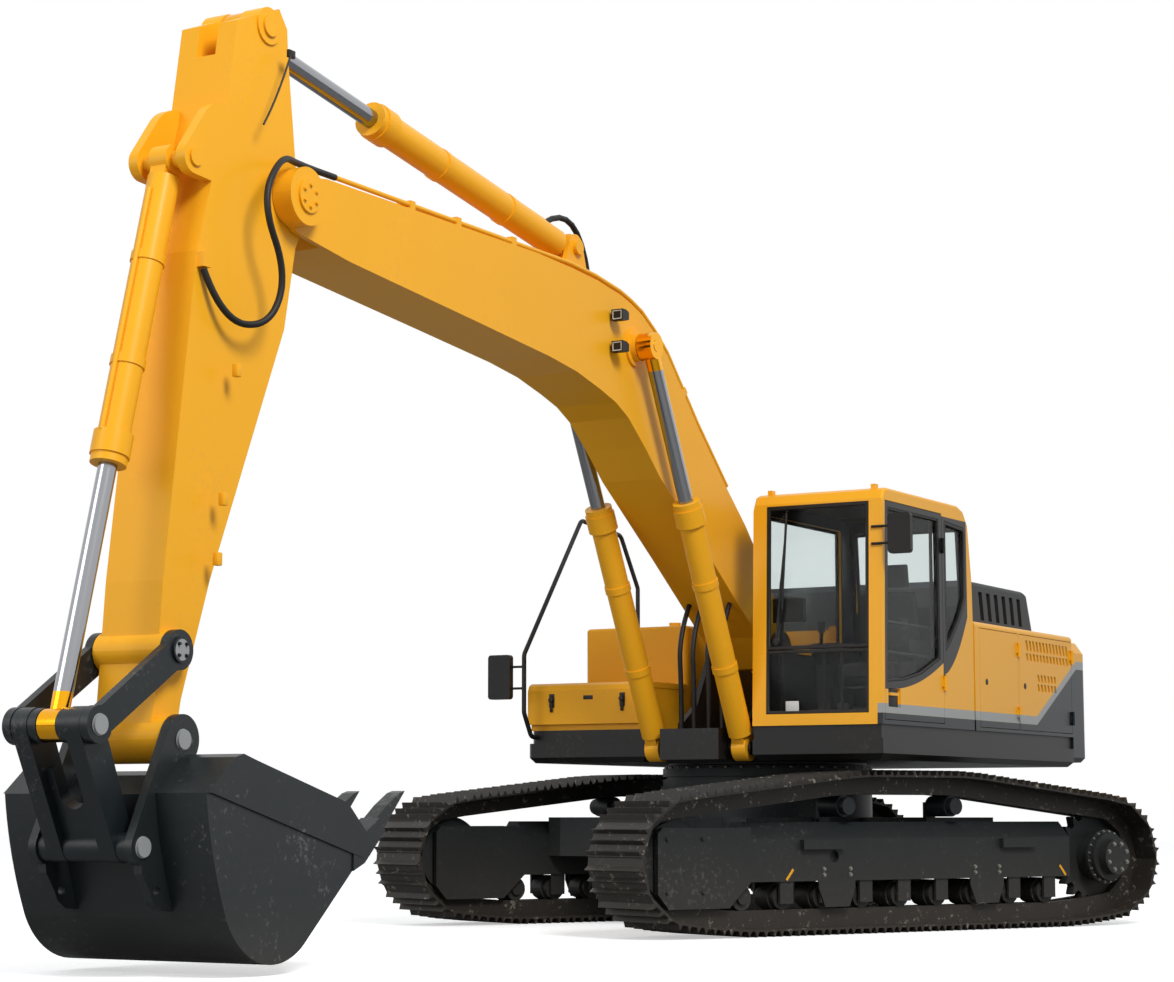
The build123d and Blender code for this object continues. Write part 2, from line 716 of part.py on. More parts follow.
with BuildPart() as pump_body:
    lump(COUNTERWEIGHT_FRONT + FIT, TANK_REAR - FIT, -HOUSE_HALF, -FIT, HOUSE_FLOOR, BODY_TOP)
    brow = pump_body.edges().filter_by(Axis.X).group_by(Axis.Z)[-1].sort_by(Axis.Y)[0]
    fillet(brow, radius=38)
    lump(GIRDER_REAR - FIT, TANK_REAR, -GIRDER_HALF - FIT, 0, HOUSE_FLOOR, BODY_TOP, Mode.SUBTRACT)
    lump(BAY_REAR, BAY_FRONT, -BAY_HALF, 0, HOUSE_FLOOR, BODY_TOP, Mode.SUBTRACT)
    rear, front = RIGHT_DOOR
    lump(rear - WALL / 2, front - WALL / 2, -INSIDE, -BAY_HALF - WALL, ROOM_LOW, ROOM_HIGH, Mode.SUBTRACT)
    doorway(RIGHT_DOOR, -HOUSE_HALF)
    hinge_post(RIGHT_DOOR[0] + GAP, -HOUSE_HALF, PANEL_LOW + 70, LEAF)
    hinge_post(RIGHT_DOOR[0] + GAP, -HOUSE_HALF, PANEL_HIGH - 180, LEAF)
keep(pump_body, "pump_body")

with BuildPart() as engine_block:
    lump(BAY_REAR + 90, BAY_FRONT - 90, -BAY_HALF + 90, BAY_HALF - 90, HOUSE_FLOOR, BODY_TOP - 90)
keep(engine_block, "engine_block")


def slots(start, count, pitch, low, high, lean):
    """A row of leaning slots through a side panel; start is the first slot's lower rear corner."""
    for k in range(count):
        x = start + k * pitch
        width = pitch * 0.52
        slot = [(x, low), (x + width, low), (x + width + lean, high), (x + lean, high)]
        slab(slot, HOUSE_HALF - DOOR_THICK - 1, HOUSE_HALF + 1, Mode.SUBTRACT)


def side_door(door, outer):
    rear, front = door
    span = sorted((outer, outer - math.copysign(DOOR_THICK, outer)))
    lump(rear + GAP, front - GAP, *span, PANEL_LOW + GAP, PANEL_HIGH - GAP)
    hinge_hung(rear + GAP, outer, PANEL_LOW + 70)
    hinge_hung(rear + GAP, outer, PANEL_HIGH - 180)


with BuildPart() as left_front_door:
    side_door(LEFT_FRONT_DOOR, HOUSE_HALF)
keep(left_front_door, "left_front_door")

with BuildPart() as left_rear_door:
    side_door(LEFT_REAR_DOOR, HOUSE_HALF)
    slots(-2530, 13, 74, 2078, 2158, 26)
    slots(-2530, 13, 74, 2002, 2058, 18)
    slots(-2250, 6, 74, 1846, 1900, 18)
    slots(-2250, 6, 74, 1772, 1826, 18)
keep(left_rear_door, "left_rear_door")

with BuildPart() as right_door:
    side_door(RIGHT_DOOR, -HOUSE_HALF)
keep(right_door, "right_door")

# Engine hood: a hollow cover with leaning slots along both sides
HOOD_SIDE = [
    (HOOD_FRONT, BODY_TOP + FIT),
    (HOOD_FRONT - 15, HOOD_TOP - 50),
    (HOOD_FRONT - 60, HOOD_TOP),
    (HOOD_REAR + 190, HOOD_TOP - 5),
    (HOOD_REAR + 110, HOOD_TOP - 45),
    (HOOD_REAR, BODY_TOP + 60),
    (HOOD_REAR, BODY_TOP + FIT),
]

with BuildPart() as engine_hood:
    slab(HOOD_SIDE, HOOD_RIGHT, HOOD_LEFT)
    rims = engine_hood.edges().filter_by(lambda e: abs(e.center().Z - HOOD_TOP) < 30 and e.length > 900)
    fillet(rims.filter_by(lambda e: abs(e.center().Y - HOOD_LEFT) < 1), radius=35)
    with BuildSketch(side(HOOD_LEFT - HOOD_WALL)) as room:
        Polygon(*HOOD_SIDE, align=None)
        offset(amount=-HOOD_WALL, kind=Kind.INTERSECTION, mode=Mode.REPLACE)
        with Locations(((HOOD_FRONT + HOOD_REAR) / 2, BODY_TOP)):
            Rectangle(HOOD_FRONT - HOOD_REAR - 2 * HOOD_WALL, 4 * HOOD_WALL)
    extrude(room.sketch, amount=HOOD_LEFT - HOOD_RIGHT - 2 * HOOD_WALL, mode=Mode.SUBTRACT)
    for k in range(6):
        x = HOOD_FRONT - 330 - k * 165
        slot = [(x, BODY_TOP + 75), (x - 75, BODY_TOP + 75), (x - 30, HOOD_TOP - 75), (x + 45, HOOD_TOP - 75)]
        slab(slot, HOOD_LEFT - HOOD_WALL - 5, HOOD_LEFT + 1, Mode.SUBTRACT)
        slab(slot, HOOD_RIGHT - 1, HOOD_RIGHT + HOOD_WALL + 5, Mode.SUBTRACT)
    for y in (300, 860):
        low, high = y + KNUCKLE + 1, y + 83
        boss((HOOD_REAR - HINGE_OUT, BODY_TOP + HINGE_OUT), HINGE_R, low, high)
        lump(HOOD_REAR - HINGE_OUT, HOOD_REAR + 2, low, high, BODY_TOP + 8, BODY_TOP + HINGE_OUT + HINGE_R)
        bore((HOOD_REAR - HINGE_OUT, BODY_TOP + HINGE_OUT), HINGE_PIN_R + RUNNING, low, high)
keep(engine_hood, "engine_hood")

TANK_OUTER = HOUSE_HALF - TANK_INSET

with BuildPart() as tank:
    lump(TANK_REAR, TANK_FRONT, -TANK_OUTER, -RIGHT_INNER, HOUSE_FLOOR, TANK_TOP)
    fillet(tank.edges().filter_by(Axis.Z), radius=45)
    fillet(tank.faces().sort_by(Axis.Z)[-1].edges(), radius=25)
    post(TANK_REAR + 300, -RIGHT_INNER - 350, 70, TANK_TOP - 5, TANK_TOP + 45)
    post(TANK_FRONT - 180, -RIGHT_INNER - 200, 45, TANK_TOP - 5, TANK_TOP + 35)
keep(tank, "tank")

LID_THICK = 40
LID_REAR = TANK_FRONT + 13
LID_HINGE = (LID_REAR, TOOLBOX_TOP + HINGE_OUT)
LID_Y = (-HOUSE_HALF + 150, -HOUSE_HALF + 700)
BOX_TOP = TOOLBOX_TOP - LID_THICK - FIT
BOX_FRONT = TOOLBOX_FRONT - LID_THICK - GAP

with BuildPart() as toolbox:
    lump(TANK_FRONT + FIT, BOX_FRONT, -HOUSE_HALF + 5, -RIGHT_INNER - 5, HOUSE_FLOOR, BOX_TOP)
    lump(
        TANK_FRONT + TOOLBOX_WALL,
        BOX_FRONT - TOOLBOX_WALL,
        -HOUSE_HALF + 5 + TOOLBOX_WALL,
        -RIGHT_INNER - 5 - TOOLBOX_WALL,
        HOUSE_FLOOR + TOOLBOX_WALL,
        BOX_TOP,
        Mode.SUBTRACT,
    )
    for y in LID_Y:
        for low in (y, y + 84):
            lump(TANK_FRONT + FIT, LID_REAR - 5, low, low + KNUCKLE, BOX_TOP - 10, LID_HINGE[1])
            boss(LID_HINGE, HINGE_R - 1, low, low + KNUCKLE)
        boss(LID_HINGE, HINGE_PIN_R, y, y + HINGE_LENGTH)
keep(toolbox, "toolbox")

with BuildPart() as toolbox_lid:
    lid = [
        (LID_REAR, TOOLBOX_TOP - LID_THICK),
        (BOX_FRONT + GAP, TOOLBOX_TOP - LID_THICK),
        (BOX_FRONT + GAP, DECK_HIGH + 45),
        (TOOLBOX_FRONT, DECK_HIGH + 45),
        (TOOLBOX_FRONT, TOOLBOX_TOP - 55),
        (TOOLBOX_FRONT - 18, TOOLBOX_TOP - 18),
        (TOOLBOX_FRONT - 55, TOOLBOX_TOP),
        (LID_REAR, TOOLBOX_TOP),
    ]
    slab(lid, -HOUSE_HALF, -RIGHT_INNER)
    for y in LID_Y:
        low, high = y + KNUCKLE + 1, y + 83
        boss(LID_HINGE, HINGE_R - 1, low, high)
        lump(LID_REAR, LID_REAR + LEAF, low, high, TOOLBOX_TOP - 2, TOOLBOX_TOP + LEAF_THICK)
        bore(LID_HINGE, HINGE_PIN_R + RUNNING, low, high)
keep(toolbox_lid, "toolbox_lid")

# Front gear

BOOM_TOP = [
    (160, 2170), (420, 2530), (790, 2900), (1080, 3140), (1540, 3550), (1980, 3985), (2160, 4110),
    (2341, 4211), (2490, 4262), (2640, 4300), (2962, 4347), (3300, 4372), (3740, 4390), (6050, 4390),
    (6190, 4372), (6330, 4330),
]
BOOM_LOW = [
    (6420, 4090), (6330, 4030), (5820, 3955), (4500, 3830), (3580, 3740), (3230, 3690), (2930, 3618),
    (2720, 3558), (2545, 3475), (2320, 3305), (2090, 3110), (1370, 2630), (600, 2100), (400, 1880),
]
FORK_SLOT = [
    (5880, 3600), (6020, 3900), (6110, 4060), (6130, 4165), (6040, 4200), (5590, 4322), (5450, 4360),
    (5360, 4390), (5300, 4450), (5300, 4700), (7000, 4700), (7000, 3600),
]
BOOM_FOOT_HALF = GIRDER_HALF - GIRDER_PLATE - GAP
BRACKET_IN = 70
BRACKET_OUT = 105

with BuildPart() as boom:
    slab(BOOM_TOP + BOOM_LOW, -BOOM_HALF, BOOM_HALF)
    boss(FOOT, 140, -BOOM_FOOT_HALF, BOOM_FOOT_HALF)
    boss(TIP, 165, -FORK_HALF, FORK_HALF)
    boss(TIP, 95, -FORK_HALF - CAP, FORK_HALF + CAP)
    boss(BOOM_CYLINDER_PIN, 95, -BOOM_CYLINDER_Y + 65, BOOM_CYLINDER_Y - 65)
    boss(BOOM_CYLINDER_PIN, 130, -BOOM_HALF - 18, BOOM_HALF + 18)
    for y0, y1 in both(BRACKET_IN, BRACKET_OUT):
        joined(ARM_CYLINDER_BASE, (ARM_CYLINDER_BASE[0], ARM_CYLINDER_BASE[1] - 250), 90, 170, y0, y1)
    bore(TIP, 230, -ARM_HALF - GAP, ARM_HALF + GAP)
    slab(FORK_SLOT, -ARM_HALF - GAP, ARM_HALF + GAP, Mode.SUBTRACT)
    boss(TIP, PIN_R, -FORK_HALF, FORK_HALF)
    bore(FOOT, FOOT_PIN_R + RUNNING, -GIRDER_HALF, GIRDER_HALF)
    boss(ARM_CYLINDER_BASE, PIN_R, -BRACKET_OUT - 30, BRACKET_OUT + 30)
keep(boom, "boom")

ARM_SIDE = [
    (6850, 5118), (6470, 5280), (6393, 5181), (6380, 5011), (6290, 4370), (6210, 4320), (6180, 4200),
    (6220, 4080), (6290, 3950), (6384, 3474), (7005, 2040), (7230, 1400), (7268, 1210), (7350, 1120),
    (7440, 1120), (7500, 1210), (7470, 1275), (7440, 1400), (7392, 2010), (7161, 3781), (6940, 4565),
]
EYE_SLOT_HALF = EYE_WIDTH / 2 + 6
ARM_EYE_SLOT = [(6200, 4640), (6420, 4870), (6540, 4936), (7100, 4936), (7100, 5500), (6200, 5500)]
PORT_REAR = 7095
PORT_FRONT = 7162
PORT_LOW = 3690
LUG_HALF = 130

with BuildPart() as arm:
    slab(ARM_SIDE, -ARM_HALF, ARM_HALF)
    boss(ARM_END, 120, -ARM_END_HALF, ARM_END_HALF)
    boss(LEVER_PIVOT, 105, -LEVER_IN + GAP, LEVER_IN - GAP)
    boss(ARM_CYLINDER_EYE, 105, -ARM_HALF - 12, ARM_HALF + 12)
    boss(ARM_CYLINDER_EYE, 62, -ARM_HALF - 12 - CAP, ARM_HALF + 12 + CAP)
    for y0, y1 in both(LUG_HALF, ARM_HALF):
        joined(BUCKET_CYLINDER_BASE, (6930, 4400), 92, 230, y0, y1)
    slab(ARM_EYE_SLOT, -EYE_SLOT_HALF, EYE_SLOT_HALF, Mode.SUBTRACT)
    bore(TIP, PIN_R + RUNNING, -ARM_HALF, ARM_HALF)
    boss(BUCKET_CYLINDER_BASE, PIN_R, -ARM_HALF - CAP, ARM_HALF + CAP)
    bore(ARM_END, PIN_R + RUNNING, -ARM_END_HALF, ARM_END_HALF)
    bore(LEVER_PIVOT, PIN_R + RUNNING, -LEVER_IN, LEVER_IN)
    for y0, y1 in both(ARM_HALF, ARM_HALF + 46):
        lump(PORT_REAR, PORT_FRONT, y0, y1, PORT_LOW + FIT, PORT_LOW + 80)
keep(arm, "arm")

HEAD_LENGTH = 170
GLAND = 60
ROD_GAP = 3
TUBE_R = 13


def cylinder(foot, eye, closed, barrel_end, radius, rod_radius, eye_radius, ys, width, upward):
    """A hydraulic cylinder as its barrel and its rod, each with one solid for every y."""
    length, direction = away(foot, eye)
    head_radius = radius + 19
    with BuildPart() as barrel:
        for y in ys:
            plane = along(foot, direction, y)
            for start, end, r in (
                (eye_radius + 20, barrel_end - HEAD_LENGTH, radius),
                (barrel_end - HEAD_LENGTH, barrel_end - 45, head_radius),
                (barrel_end - 45, barrel_end, head_radius - 9),
                (barrel_end * 0.32, barrel_end * 0.32 + 50, radius + 7),
                (barrel_end * 0.66, barrel_end * 0.66 + 50, radius + 7),
            ):
                with BuildSketch(plane.offset(start)) as disk:
                    Circle(r)
                extrude(disk.sketch, amount=end - start)
            with BuildSketch(plane.offset(0)) as neck:
                Rectangle(width - 20, 1.5 * eye_radius)
            extrude(neck.sketch, amount=eye_radius + 25)
            with BuildSketch(plane.offset(eye_radius + 120)) as tube:
                with Locations((0, upward * (radius + TUBE_R - 3))):
                    Circle(TUBE_R)
            extrude(tube.sketch, amount=barrel_end - HEAD_LENGTH - eye_radius - 110)
            with BuildSketch(plane.offset(eye_radius + 110)) as room:
                Circle(rod_radius + ROD_GAP)
            extrude(room.sketch, amount=barrel_end - GLAND - eye_radius - 110, mode=Mode.SUBTRACT)
            with BuildSketch(plane.offset(barrel_end - GLAND - 1)) as gland:
                Circle(rod_radius + RUNNING)
            extrude(gland.sketch, amount=GLAND + 2, mode=Mode.SUBTRACT)
            boss(foot, eye_radius, y - width / 2, y + width / 2)
            bore(foot, PIN_R + RUNNING, y - radius, y + radius)
    with BuildPart() as rod:
        for y in ys:
            with BuildSketch(along(eye, direction + 180, y)) as shaft:
                Circle(rod_radius)
            extrude(shaft.sketch, amount=closed - eye_radius - 160)
            boss(eye, eye_radius, y - width / 2, y + width / 2)
            boss(eye, PIN_R - 8, y - width / 2 - 3, y + width / 2 + 3)
    return barrel, rod


pair = (BOOM_CYLINDER_Y, -BOOM_CYLINDER_Y)
boom_barrels, boom_rods = cylinder(
    BOOM_CYLINDER_FOOT, BOOM_CYLINDER_PIN, 2118, 1880, 86, 52, 92, pair, 110, 1
)
keep(boom_barrels, "boom_barrels")
keep(boom_rods, "boom_rods")
arm_barrel, arm_rod = cylinder(
    ARM_CYLINDER_BASE, ARM_CYLINDER_EYE, 2424, 2300, 97, 57, 98, (0,), EYE_WIDTH, 1
)
keep(arm_barrel, "arm_barrel")
keep(arm_rod, "arm_rod")
bucket_barrel, bucket_rod = cylinder(
    BUCKET_CYLINDER_BASE, LEVER_PIN, 1885, 1740, 86, 50, 85, (0,), EYE_WIDTH, 1
)
keep(bucket_barrel, "bucket_barrel")
keep(bucket_rod, "bucket_rod")

with BuildPart() as levers:
    for y0, y1 in both(LEVER_IN, LEVER_OUT):
        joined(LEVER_PIVOT, LEVER_PIN, 78, 74, y0, y1)
        boss(LEVER_PIVOT, 105, y0, y1)
        boss(LEVER_PIN, 95, y0, y1)
    boss(LEVER_PIVOT, PIN_R, -LEVER_OUT, LEVER_OUT)
    boss(LEVER_PIVOT, 68, -LEVER_OUT - 13, -LEVER_OUT)
    boss(LEVER_PIVOT, 68, LEVER_OUT, LEVER_OUT + 13)
    boss(LEVER_PIN, PIN_R, LEVER_OUT, LEVER_OUT + 13)
    boss(LEVER_PIN, PIN_R, -LEVER_OUT - 13, -LEVER_OUT)
    boss(LEVER_PIN, PIN_R, EYE_WIDTH / 2 + GAP, LEVER_IN)
    boss(LEVER_PIN, PIN_R, -LEVER_IN, -EYE_WIDTH / 2 - GAP)
keep(levers, "levers")

LINK_OUT = LEVER_IN - GAP
LINK_IN = 120
LINK_LENGTH, LINK_WAY = away(BUCKET_PIN, LEVER_PIN)
WEB_THICK = 70

with BuildPart() as bucket_link:
    for y0, y1 in both(LINK_IN, LINK_OUT):
        joined(LEVER_PIN, BUCKET_PIN, 92, 78, y0, y1)
    for y0, y1 in both(EYE_WIDTH / 2 + GAP, LINK_IN):
        boss(LEVER_PIN, 88, y0, y1)
    web = Plane(
        origin=(BUCKET_PIN[0], 0, BUCKET_PIN[1]),
        x_dir=(0, 1, 0),
        z_dir=(math.sin(math.radians(LINK_WAY)), 0, -math.cos(math.radians(LINK_WAY))),
    )
    with BuildSketch(web.offset(-WEB_THICK / 2)) as plate:
        with Locations((0, LINK_LENGTH * 0.33)):
            Rectangle(2 * LINK_IN + 20, LINK_LENGTH * 0.66)
        with Locations((0, LINK_LENGTH * 0.62)):
            SlotCenterToCenter(LINK_LENGTH * 0.34, 150, rotation=90, mode=Mode.SUBTRACT)
    extrude(plate.sketch, amount=WEB_THICK)
    boss(BUCKET_PIN, 75, -EAR_IN + GAP, EAR_IN - GAP)
    bore(LEVER_PIN, PIN_R + RUNNING, -LEVER_IN, LEVER_IN)
keep(bucket_link, "bucket_link")

# Bucket: a curved shell with a box section under its ears, a lip and five teeth

BUCKET_PLATE = 12
BUCKET_MOUTH = [(6120, 640), (6120, 1000), (7240, 1160), (7330, 1040), (6290, 600)]
BUCKET_NOTCH = [(7240, 1400), (7240, 1120), (7300, 1040), (7409, 1012), (7620, 905), (7760, 840), (7760, 1400)]
BUCKET_BOX = [(7240, 1400), (7240, 1060), (7290, 990), (7400, 965), (7600, 858), (7760, 785), (7760, 1400)]
BUCKET_UPPER = [(6000, 517), (7573, 921), (7700, 921), (7700, 1300), (6000, 1300)]
EAR = [
    (7400, 1000), (7600, 760), (7700, 600), (7690, 520), (7625, 430), (7600, 380), (7540, 340),
    (7436, 330), (7450, 500), (7470, 800),
]
ADAPTER = [(6345, 515), (6240, 556), (6050, 725), (6105, 795), (6200, 740), (6345, 640)]
TOOTH = [(6120, 650), (5834, 942), (5885, 930), (6010, 862), (6140, 770)]
TOOTH_COUNT = 5


with BuildSketch() as bucket_form:
    with BuildLine():
        Polyline((6405, 875), (7215, 1088), (7316, 1117), (7381, 1100), (7600, 920))
        ThreePointArc((7600, 920), (7533, 590), (7426, 296))
        ThreePointArc((7426, 296), (7110, 62), (6780, 140))
        Polyline((6780, 140), (6325, 532), (6150, 650), (6405, 875))
    make_face()
BUCKET_SIDE = bucket_form.sketch

with BuildPart() as bucket:
    core = BUCKET_HALF - BUCKET_PLATE
    inner = BUCKET_HALF - SIDE_SHEET
    with BuildSketch(side(core)) as shell:
        add(BUCKET_SIDE)
    extrude(shell.sketch, amount=2 * core)
    for y0, y1 in both(core, BUCKET_HALF):
        with BuildSketch(side(y1)) as cheek:
            add(BUCKET_SIDE)
            Polygon(*BUCKET_UPPER, align=None, mode=Mode.INTERSECT)
        extrude(cheek.sketch, amount=y1 - y0)
    for y0, y1 in both(EAR_IN, EAR_OUT):
        joined(ARM_END, BUCKET_PIN, 130, 88, y0, y1)
        slab(EAR, y0, y1)
        bore(EAR_HOLE, EAR_HOLE_RADIUS, y0, y1)
    with BuildSketch(side(inner)) as hollow:
        add(BUCKET_SIDE)
        offset(amount=-BUCKET_SHEET, mode=Mode.REPLACE)
        Polygon(*BUCKET_BOX, align=None, mode=Mode.SUBTRACT)
    extrude(hollow.sketch, amount=2 * inner, mode=Mode.SUBTRACT)
    slab(BUCKET_MOUTH, -inner, inner, Mode.SUBTRACT)
    slab(BUCKET_NOTCH, GAP - EAR_IN, EAR_IN - GAP, Mode.SUBTRACT)
    bore(ARM_END, 150, GAP - EAR_IN, EAR_IN - GAP)
    for k in range(TOOTH_COUNT):
        y = (2 * k / (TOOTH_COUNT - 1) - 1) * (BUCKET_HALF - 65)
        slab(ADAPTER, y - 62, y + 62)
        slab(TOOTH, y - 42, y + 42)
    boss(ARM_END, PIN_R, -EAR_OUT - 13, EAR_OUT + 13)
    for y0, y1 in both(EAR_OUT, EAR_OUT + 13):
        boss(BUCKET_PIN, PIN_R, y0, y1)
keep(bucket, "bucket")

# Cab: a hollow box with cut windows, a door and glass

CAB_LEAN = 48
CAB_HEAD = 3000
CAB_EDGE = 22
CAB_OUTLINE = [
    (CAB_FRONT, HOUSE_FLOOR),
    (CAB_FRONT - CAB_LEAN, CAB_HEAD),
    (CAB_FRONT - 80, CAB_ROOF - 20),
    (CAB_FRONT - 130, CAB_ROOF),
    (CAB_REAR + 256, CAB_ROOF),
    (CAB_REAR + 150, CAB_ROOF - 30),
    (CAB_REAR + 60, CAB_ROOF - 130),
    (CAB_REAR + 20, CAB_ROOF - 380),
    (CAB_REAR, BODY_TOP),
    (CAB_REAR, HOUSE_FLOOR),
]
DOOR_REAR = 85
DOOR_FRONT = 1150
DOOR_LEAN = 45
DOOR_LOW = 1460
DOOR_HIGH = 2990
WINDOW_HIGH = 2945
GLASS = 6
GLASS_DEPTH = 20
DOOR_OPENING = [
    (DOOR_REAR, DOOR_LOW),
    (DOOR_FRONT, DOOR_LOW),
    (DOOR_FRONT - DOOR_LEAN, DOOR_HIGH),
    (DOOR_REAR, DOOR_HIGH),
]
DOOR_WINDOW = [
    (DOOR_REAR + 60, 1925),
    (500, 1800),
    (800, 1745),
    (DOOR_FRONT - 46, 1722),
    (DOOR_FRONT - 85, WINDOW_HIGH),
    (DOOR_REAR + 60, WINDOW_HIGH),
]
QUARTER_WINDOW = [
    (DOOR_REAR - 45, 1985), (-60, 2060), (-160, 2150), (-240, 2230), (-310, 2320), (-355, 2400),
    (-362, 2890), (-330, 2925), (DOOR_REAR - 45, WINDOW_HIGH),
]
CAB_MIDDLE = HOUSE_HALF - CAB_WIDTH / 2
FRONT_WINDOW_HALF = 395
FRONT_WINDOW_LOW = 1510
FRONT_WINDOW_HIGH = 2985
FRONT_SPLIT = 1960
RIGHT_WINDOW = [(-250, 1950), (1050, 1950), (1050, 2940), (-250, 2940)]
REAR_WINDOW_HALF = 420
REAR_WINDOW_LOW = 2330
REAR_WINDOW_HIGH = 2930


def cab_front(z):
    """How far forward the cab's sloping front face lies at one height."""
    return CAB_FRONT - CAB_LEAN * (z - HOUSE_FLOOR) / (CAB_HEAD - HOUSE_FLOOR)


def pane(points, amount, y0, y1, mode=Mode.ADD):
    """A sheet cut to an outline seen from the side, drawn in by an amount."""
    with BuildSketch(side(y1)) as outline:
        Polygon(*points, align=None)
        offset(amount=-amount, kind=Kind.INTERSECTION, mode=Mode.REPLACE)
    extrude(outline.sketch, amount=y1 - y0, mode=mode)


with BuildPart() as cab:
    slab(CAB_OUTLINE, CAB_INNER, HOUSE_HALF)
    sides = cab.faces().filter_by(Axis.Y)
    rims = [e for face in sides for e in face.edges() if e.center().Z > BODY_TOP and e.center().X > CAB_REAR + 12]
    fillet(rims, radius=CAB_EDGE)
    pane(CAB_OUTLINE, CAB_WALL, CAB_INNER + CAB_WALL, HOUSE_HALF - CAB_WALL, Mode.SUBTRACT)
    slab(DOOR_OPENING, HOUSE_HALF - CAB_WALL - 1, HOUSE_HALF + 1, Mode.SUBTRACT)
    slab(QUARTER_WINDOW, HOUSE_HALF - CAB_WALL - 1, HOUSE_HALF + 1, Mode.SUBTRACT)
    slab(RIGHT_WINDOW, CAB_INNER - 1, CAB_INNER + CAB_WALL + 1, Mode.SUBTRACT)
    front_y = (CAB_MIDDLE - FRONT_WINDOW_HALF, CAB_MIDDLE + FRONT_WINDOW_HALF)
    rear_y = (CAB_MIDDLE - REAR_WINDOW_HALF, CAB_MIDDLE + REAR_WINDOW_HALF)
    lump(CAB_FRONT - 180, CAB_FRONT + 10, *front_y, FRONT_WINDOW_LOW, FRONT_WINDOW_HIGH, Mode.SUBTRACT)
    lump(CAB_REAR - 10, CAB_REAR + 150, *rear_y, REAR_WINDOW_LOW, REAR_WINDOW_HIGH, Mode.SUBTRACT)
    lump(-60, 760, CAB_MIDDLE - 330, CAB_MIDDLE + 330, CAB_ROOF - 5, CAB_ROOF + 22)
    for y in (CAB_MIDDLE - 400, CAB_MIDDLE + 400):
        lump(CAB_FRONT - 165, CAB_FRONT - 115, y - 18, y + 18, CAB_ROOF - 30, CAB_ROOF + 30)
    hinge_post(DOOR_REAR + GAP, HOUSE_HALF, DOOR_LOW + 240, 28)
    hinge_post(DOOR_REAR + GAP, HOUSE_HALF, DOOR_HIGH - 290, 28)
keep(cab, "cab")

with BuildPart() as cab_door:
    pane(DOOR_OPENING, GAP, HOUSE_HALF - CAB_WALL + 5, HOUSE_HALF)
    slab(DOOR_WINDOW, HOUSE_HALF - CAB_WALL, HOUSE_HALF + 1, Mode.SUBTRACT)
    lump(880, 1090, HOUSE_HALF - 16, HOUSE_HALF + 1, 1550, 1680, Mode.SUBTRACT)
    lump(920, 1070, HOUSE_HALF - 18, HOUSE_HALF + 6, 1630, 1650)
    hinge_hung(DOOR_REAR + GAP, HOUSE_HALF, DOOR_LOW + 240)
    hinge_hung(DOOR_REAR + GAP, HOUSE_HALF, DOOR_HIGH - 290)
keep(cab_door, "cab_door")

GLASS_OUT = HOUSE_HALF - GLASS_DEPTH

with BuildPart() as door_glass:
    pane(DOOR_WINDOW, FIT, GLASS_OUT - GLASS, GLASS_OUT)
keep(door_glass, "door_glass")

with BuildPart() as cab_glass:
    pane(QUARTER_WINDOW, FIT, GLASS_OUT - GLASS, GLASS_OUT)
    pane(RIGHT_WINDOW, FIT, CAB_INNER + GLASS_DEPTH, CAB_INNER + GLASS_DEPTH + GLASS)
    for low, high in ((FRONT_WINDOW_LOW, FRONT_SPLIT), (FRONT_SPLIT, FRONT_WINDOW_HIGH)):
        x0 = cab_front(low) - GLASS_DEPTH
        x1 = cab_front(high) - GLASS_DEPTH
        sheet = [(x0, low + FIT), (x1, high - FIT), (x1 - GLASS, high - FIT), (x0 - GLASS, low + FIT)]
        slab(sheet, front_y[0] + FIT, front_y[1] - FIT)
    outer = [
        (CAB_REAR + 4 + GLASS_DEPTH, REAR_WINDOW_LOW + FIT),
        (CAB_REAR + 20 + GLASS_DEPTH, CAB_ROOF - 380),
        (CAB_REAR + 55 + GLASS_DEPTH, REAR_WINDOW_HIGH - FIT),
    ]
    sheet = outer + [(x + GLASS, z) for x, z in reversed(outer)]
    slab(sheet, rear_y[0] + FIT, rear_y[1] - FIT)
keep(cab_glass, "cab_glass")

FLOOR = HOUSE_FLOOR + CAB_WALL + FIT

with BuildPart() as seat:
    lump(-60, 300, CAB_MIDDLE - 200, CAB_MIDDLE + 200, FLOOR, FLOOR + 310)
    lump(-120, 380, CAB_MIDDLE - 245, CAB_MIDDLE + 245, FLOOR + 300, FLOOR + 430)
    back = [(-120, FLOOR + 340), (0, FLOOR + 340), (-90, FLOOR + 1000), (-200, FLOOR + 1000)]
    slab(back, CAB_MIDDLE - 235, CAB_MIDDLE + 235)
    head = [(-195, FLOOR + 990), (-105, FLOOR + 990), (-120, FLOOR + 1210), (-200, FLOOR + 1210)]
    slab(head, CAB_MIDDLE - 130, CAB_MIDDLE + 130)
    chamfer(seat.faces().sort_by(Axis.Z)[-1].edges(), length=20)
keep(seat, "seat")

with BuildPart() as consoles:
    for y in (CAB_MIDDLE - 325, CAB_MIDDLE + 325):
        desk = [
            (-120, FLOOR), (330, FLOOR), (360, FLOOR + 420), (470, FLOOR + 520), (440, FLOOR + 570),
            (-120, FLOOR + 600),
        ]
        slab(desk, y - 65, y + 65)
        post(400, y, 14, FLOOR + 540, FLOOR + 660)
        post(400, y, 26, FLOOR + 650, FLOOR + 730)
    lump(880, 960, CAB_MIDDLE - 150, CAB_MIDDLE + 150, FLOOR, FLOOR + 60)
    for y in (CAB_MIDDLE - 70, CAB_MIDDLE + 70):
        post(910, y, 12, FLOOR + 50, FLOOR + 520)
        lump(820, 900, y - 45, y + 45, FLOOR + 50, FLOOR + 110)
    post(940, CAB_INNER + CAB_WALL + 60, 20, FLOOR, FLOOR + 700)
    lump(920, 965, CAB_INNER + CAB_WALL + 10, CAB_INNER + CAB_WALL + 250, FLOOR + 690, FLOOR + 860)
